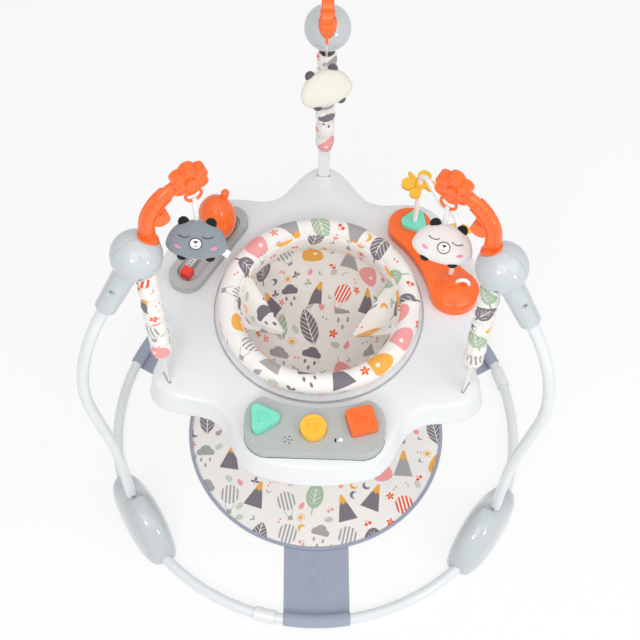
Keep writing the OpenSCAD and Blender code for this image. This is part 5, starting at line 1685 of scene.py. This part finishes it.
@dataclass
class ArmTrim:
    """Raised lines moulded on the toy arms and their flowers."""

    arm_x: float = 268.05
    bend_z: float = 889.91
    bend_r: float = 68.0
    line_run: tuple[float, float] = (-6.0, 60.0)
    half_w: float = 8.2
    face: float = 6.5
    flower_r: float = 200.14
    flower_z: float = 961.38
    petal_at: float = 16.0
    petal_r: float = 7.8
    petals: int = 6
    first_petal: float = 30.0
    petal_open: float = 118.0
    flower_face: float = 7.5
    line_r: float = 1.5

    def build(self) -> None:
        """Add the lines to each arm."""
        for leg in Leg:
            maker = Maker()
            for side in (-1, 1):
                self.arm_lines(maker, side)
                self.flower_lines(maker, side)
            dress(maker.piece(f"arm_relief_{leg.label}", leg.place), ORANGE, "frame")

    def arm_lines(self, maker: Maker, side: int) -> None:
        """Run a closed line round the flat of the arm."""
        turns = np.radians(np.linspace(*self.line_run, 22))
        middle = self.arm_x - self.bend_r
        path = []
        for reach, order in ((self.half_w, 1), (-self.half_w, -1)):
            radius = self.bend_r + reach
            path += [(middle + radius * math.cos(t), side * self.face, self.bend_z + radius * math.sin(t))
                     for t in turns[::order]]
        maker.bar(path, self.line_r, 8, closed=True)

    def flower_lines(self, maker: Maker, side: int) -> None:
        """Run a raised ring round each petal and the middle."""
        for k in range(self.petals):
            a = math.radians(self.first_petal + 360 * k / self.petals)
            x, z = self.flower_r + self.petal_at * math.cos(a), self.flower_z + self.petal_at * math.sin(a)
            turns = a + np.radians(np.linspace(-self.petal_open, self.petal_open, 22))
            path = [(x + self.petal_r * math.cos(t), side * self.flower_face, z + self.petal_r * math.sin(t))
                    for t in turns]
            maker.bar(path, self.line_r, 8)


@dataclass
class TrayToys:
    """Small mouldings on the sound panel, the car and its track, and the bead toy, with a dark line that paints
    the shadow at the sound panel's foot and a white arch that paints a highlight on the bead toy.
    """

    button_top: float = 513.2
    figure_r: float = 13.0
    figure_line: float = 1.3
    triangle: tuple[float, float] = (-82.0, -224.0)
    triangle_turn: float = 5.0
    round_button: tuple[float, float] = (-2.0, -237.0)
    bloom_r: float = 10.5
    bloom_wave: float = 2.6
    bloom_eye: float = 3.4
    eye_line: float = 1.4
    square: tuple[float, float] = (74.0, -222.0)
    square_rings: tuple[float, float] = (9.0, 3.0)
    ring_line: float = 1.5
    lobe_r: float = 225.0
    car_lobe: float = 150.0
    car_y: float = -30.0
    axle_y: float = 20.0
    axle_z: float = 495.4
    hub_x: float = 15.7
    hub_r: float = 5.2
    hub_in: float = 0.6
    hub_h: float = 2.0
    channel_floor: float = 481.2
    ladder: tuple[float, float] = (5.2, 15.2)
    ladder_reach: float = 62.0
    rail_up: float = 0.04
    rung_step: float = 5.0
    rung_ends: tuple[float, float] = (3.0, 2.0)
    rung_half_w: float = 0.7
    rung_in: float = 1.2
    rung_up: float = 0.07
    spinner_top: float = 602.0
    rainbow_bar: tuple[float, float] = (223.80, 70.37)
    butterfly_bar: tuple[float, float] = (162.82, 175.99)
    finger: tuple[float, float] = (9.0, 32.0)
    finger_turn: float = 126.0
    finger_r: float = 4.4
    finger_drop: float = 2.6
    # The arch fields shape a white arch that paints a highlight on the bead toy's front lobe.
    arch_feet: tuple[tuple[float, float], ...] = ((232.0, 50.0), (254.0, 47.5))
    arch_low: float = 488.6
    arch_rise: float = 17.0
    arch_r: float = 3.4
    bands: tuple[float, ...] = (12.5, 19.5)
    band_r: float = 2.8
    band_turn: tuple[float, float] = (36.0, 204.0)
    # seam_r and the step below size the dark line that paints the shadow in the gap at the sound panel's foot.
    seam_r: float = 0.9
    seam_step: int = 4

    def build(self) -> None:
        """Make the mouldings, the painted shadow line and the painted highlight."""
        self.button_reliefs()
        self.car_hubs()
        self.track_ladder()
        self.rainbow_bands()
        self.butterfly_body()
        self.arch()
        self.panel_seam()

    def button_reliefs(self) -> None:
        """Raise a plain figure on each of the three buttons."""
        corners = ring_points(self.figure_r, self.button_top, 3, self.triangle_turn,
                              self.triangle_turn + 240, self.triangle)
        path = [p * (1 - s) + q * s for p, q in zip(corners, np.roll(corners, -1, 0))
                for s in np.linspace(0.1, 0.9, 7)]
        triangle = Maker()
        triangle.bar(path, self.figure_line, 8, closed=True)
        dress(triangle.piece("triangle_relief"), MINT, "button_triangle")
        x, y = self.round_button
        turns = full_turn(72)
        reach = self.bloom_r + self.bloom_wave * np.cos(5 * turns)
        flower = Maker()
        bloom = np.stack([x + reach * np.cos(turns), y + reach * np.sin(turns),
                          np.full(len(turns), self.button_top)], 1)
        flower.bar(bloom, self.figure_line, 8, closed=True)
        eye = ring_points(self.bloom_eye, self.button_top, 24, middle=self.round_button)
        flower.bar(eye, self.eye_line, 8, closed=True)
        dress(flower.piece("round_relief"), YELLOW, "button_round")
        rings = Maker()
        for radius in self.square_rings:
            ring = ring_points(radius, self.button_top, 36, middle=self.square)
            rings.bar(ring, self.ring_line, 8, closed=True)
        dress(rings.piece("square_relief"), ORANGE, "button_square")

    def car_hubs(self) -> None:
        """Press a domed hub into each wheel."""
        place = Matrix.Rotation(math.radians(self.car_lobe), 4, "Z")
        for name, y in (("front", self.axle_y), ("rear", -self.axle_y)):
            maker = Maker()
            for side in (-1, 1):
                share = np.linspace(0, 1, 6)
                out = self.hub_x - self.hub_in + self.hub_h * share
                path = [(self.lobe_r + side * x, self.car_y + y, self.axle_z) for x in out]
                maker.bar(path, self.hub_r * np.sqrt(1 - 0.92 * share ** 2), 20)
            dress(maker.piece(f"wheel_hubs_{name}", place), ORANGE, f"car_wheels_{name}")

    def track_ladder(self) -> None:
        """Print a ladder of dark rungs on the floor of the track."""
        place = Matrix.Rotation(math.radians(self.car_lobe), 4, "Z")
        low, high = self.ladder
        rails, rungs = Maker(), Maker()
        span = np.linspace(-self.ladder_reach, self.ladder_reach, 30)
        rails.grid(np.array([[(self.lobe_r + x, y, self.channel_floor + self.rail_up) for y in span]
                             for x in (low, high)]))
        first, last = -self.ladder_reach + self.rung_ends[0], self.ladder_reach - self.rung_ends[1]
        level = self.channel_floor + self.rung_up
        for y in np.arange(first, last, self.rung_step):
            across = np.linspace(y - self.rung_half_w, y + self.rung_half_w, 3)
            rungs.grid(np.array([[(self.lobe_r + x, w, level) for w in across]
                                 for x in np.linspace(low + self.rung_in, high - self.rung_in, 4)]))
        dress(rails.piece("track_ladder", place), TRAY, "tray")
        dress(rungs.piece("track_rungs", place), BLACK, "tray")

    def rainbow_bands(self) -> None:
        """Raise a mint band and a yellow one on the rainbow."""
        for radius, name, finish in zip(self.bands, ("mint", "yellow"), (MINT, YELLOW)):
            maker = Maker()
            path = ring_points(radius, self.spinner_top, 40, *self.band_turn, self.rainbow_bar)
            maker.bar(path, self.band_r, 10)
            dress(maker.piece(f"rainbow_band_{name}"), finish, "rainbow")

    def butterfly_body(self) -> None:
        """Raise a body between the butterfly's wings, with a rounded end."""
        x, y = self.butterfly_bar
        a = math.radians(self.finger_turn)
        share = np.linspace(0, 1, 16)
        reach = self.finger[0] + (self.finger[1] - self.finger[0]) * share
        maker = Maker()
        level = self.spinner_top - self.finger_drop
        path = [(x + r * math.cos(a), y + r * math.sin(a), level) for r in reach]
        maker.bar(path, self.finger_r * np.sqrt(1 - 0.96 * share ** 6), 14)
        dress(maker.piece("butterfly_body"), YELLOW, "butterfly")

    def arch(self) -> None:
        """Bend a small white arch on the bead toy's front lobe, a painted highlight where a lamp's reflection
        falls on the lobe.
        """
        (x1, y1), (x2, y2) = self.arch_feet
        turns = np.linspace(0, math.pi, 25)
        path = [((x1 + x2) / 2 - (x2 - x1) / 2 * math.cos(t), (y1 + y2) / 2 - (y2 - y1) / 2 * math.cos(t),
                 self.arch_low + self.arch_rise * math.sin(t) ** 0.8) for t in turns]
        maker = Maker()
        maker.bar(path, self.arch_r, 14)
        dress(maker.piece("bead_arch"), WHITE, "tray")

    def panel_seam(self) -> None:
        """Run a dark line along the front of the sound panel's foot, a painted shadow in the gap there."""
        points = np.array([v.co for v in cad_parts["panel_case"].data.vertices]) / MM
        low = points[points[:, 2] < points[:, 2].min() + 0.5]
        x, y = self.round_button
        turns = np.degrees(np.arctan2(low[:, 1] - y, low[:, 0] - x))
        reach = np.hypot(low[:, 0] - x, low[:, 1] - y)
        line = []
        for turn in range(-180, 0, self.seam_step):
            here = np.flatnonzero((turns >= turn) & (turns < turn + self.seam_step))
            if len(here):
                line.append(low[here[np.argmax(reach[here])]])
        maker = Maker()
        maker.bar(line, self.seam_r, 6)
        # The dark rubber-grey line is a painted shadow in the gap between the panel and the tray.
        dress(maker.piece("panel_seam"), RUBBER_AND_GAP_SHADOW, "tray")


def main() -> None:
    """Build the scene in order."""
    logging.basicConfig(level=logging.INFO, format="%(message)s")
    for part in (Studio(), HardParts(), Suspension(), FloorMat(), Seat(), SoftToys(), ArmTrim(), TrayToys()):
        part.build()
        log.info("built %s", type(part).__name__)


if __name__ == "__main__":
    main()
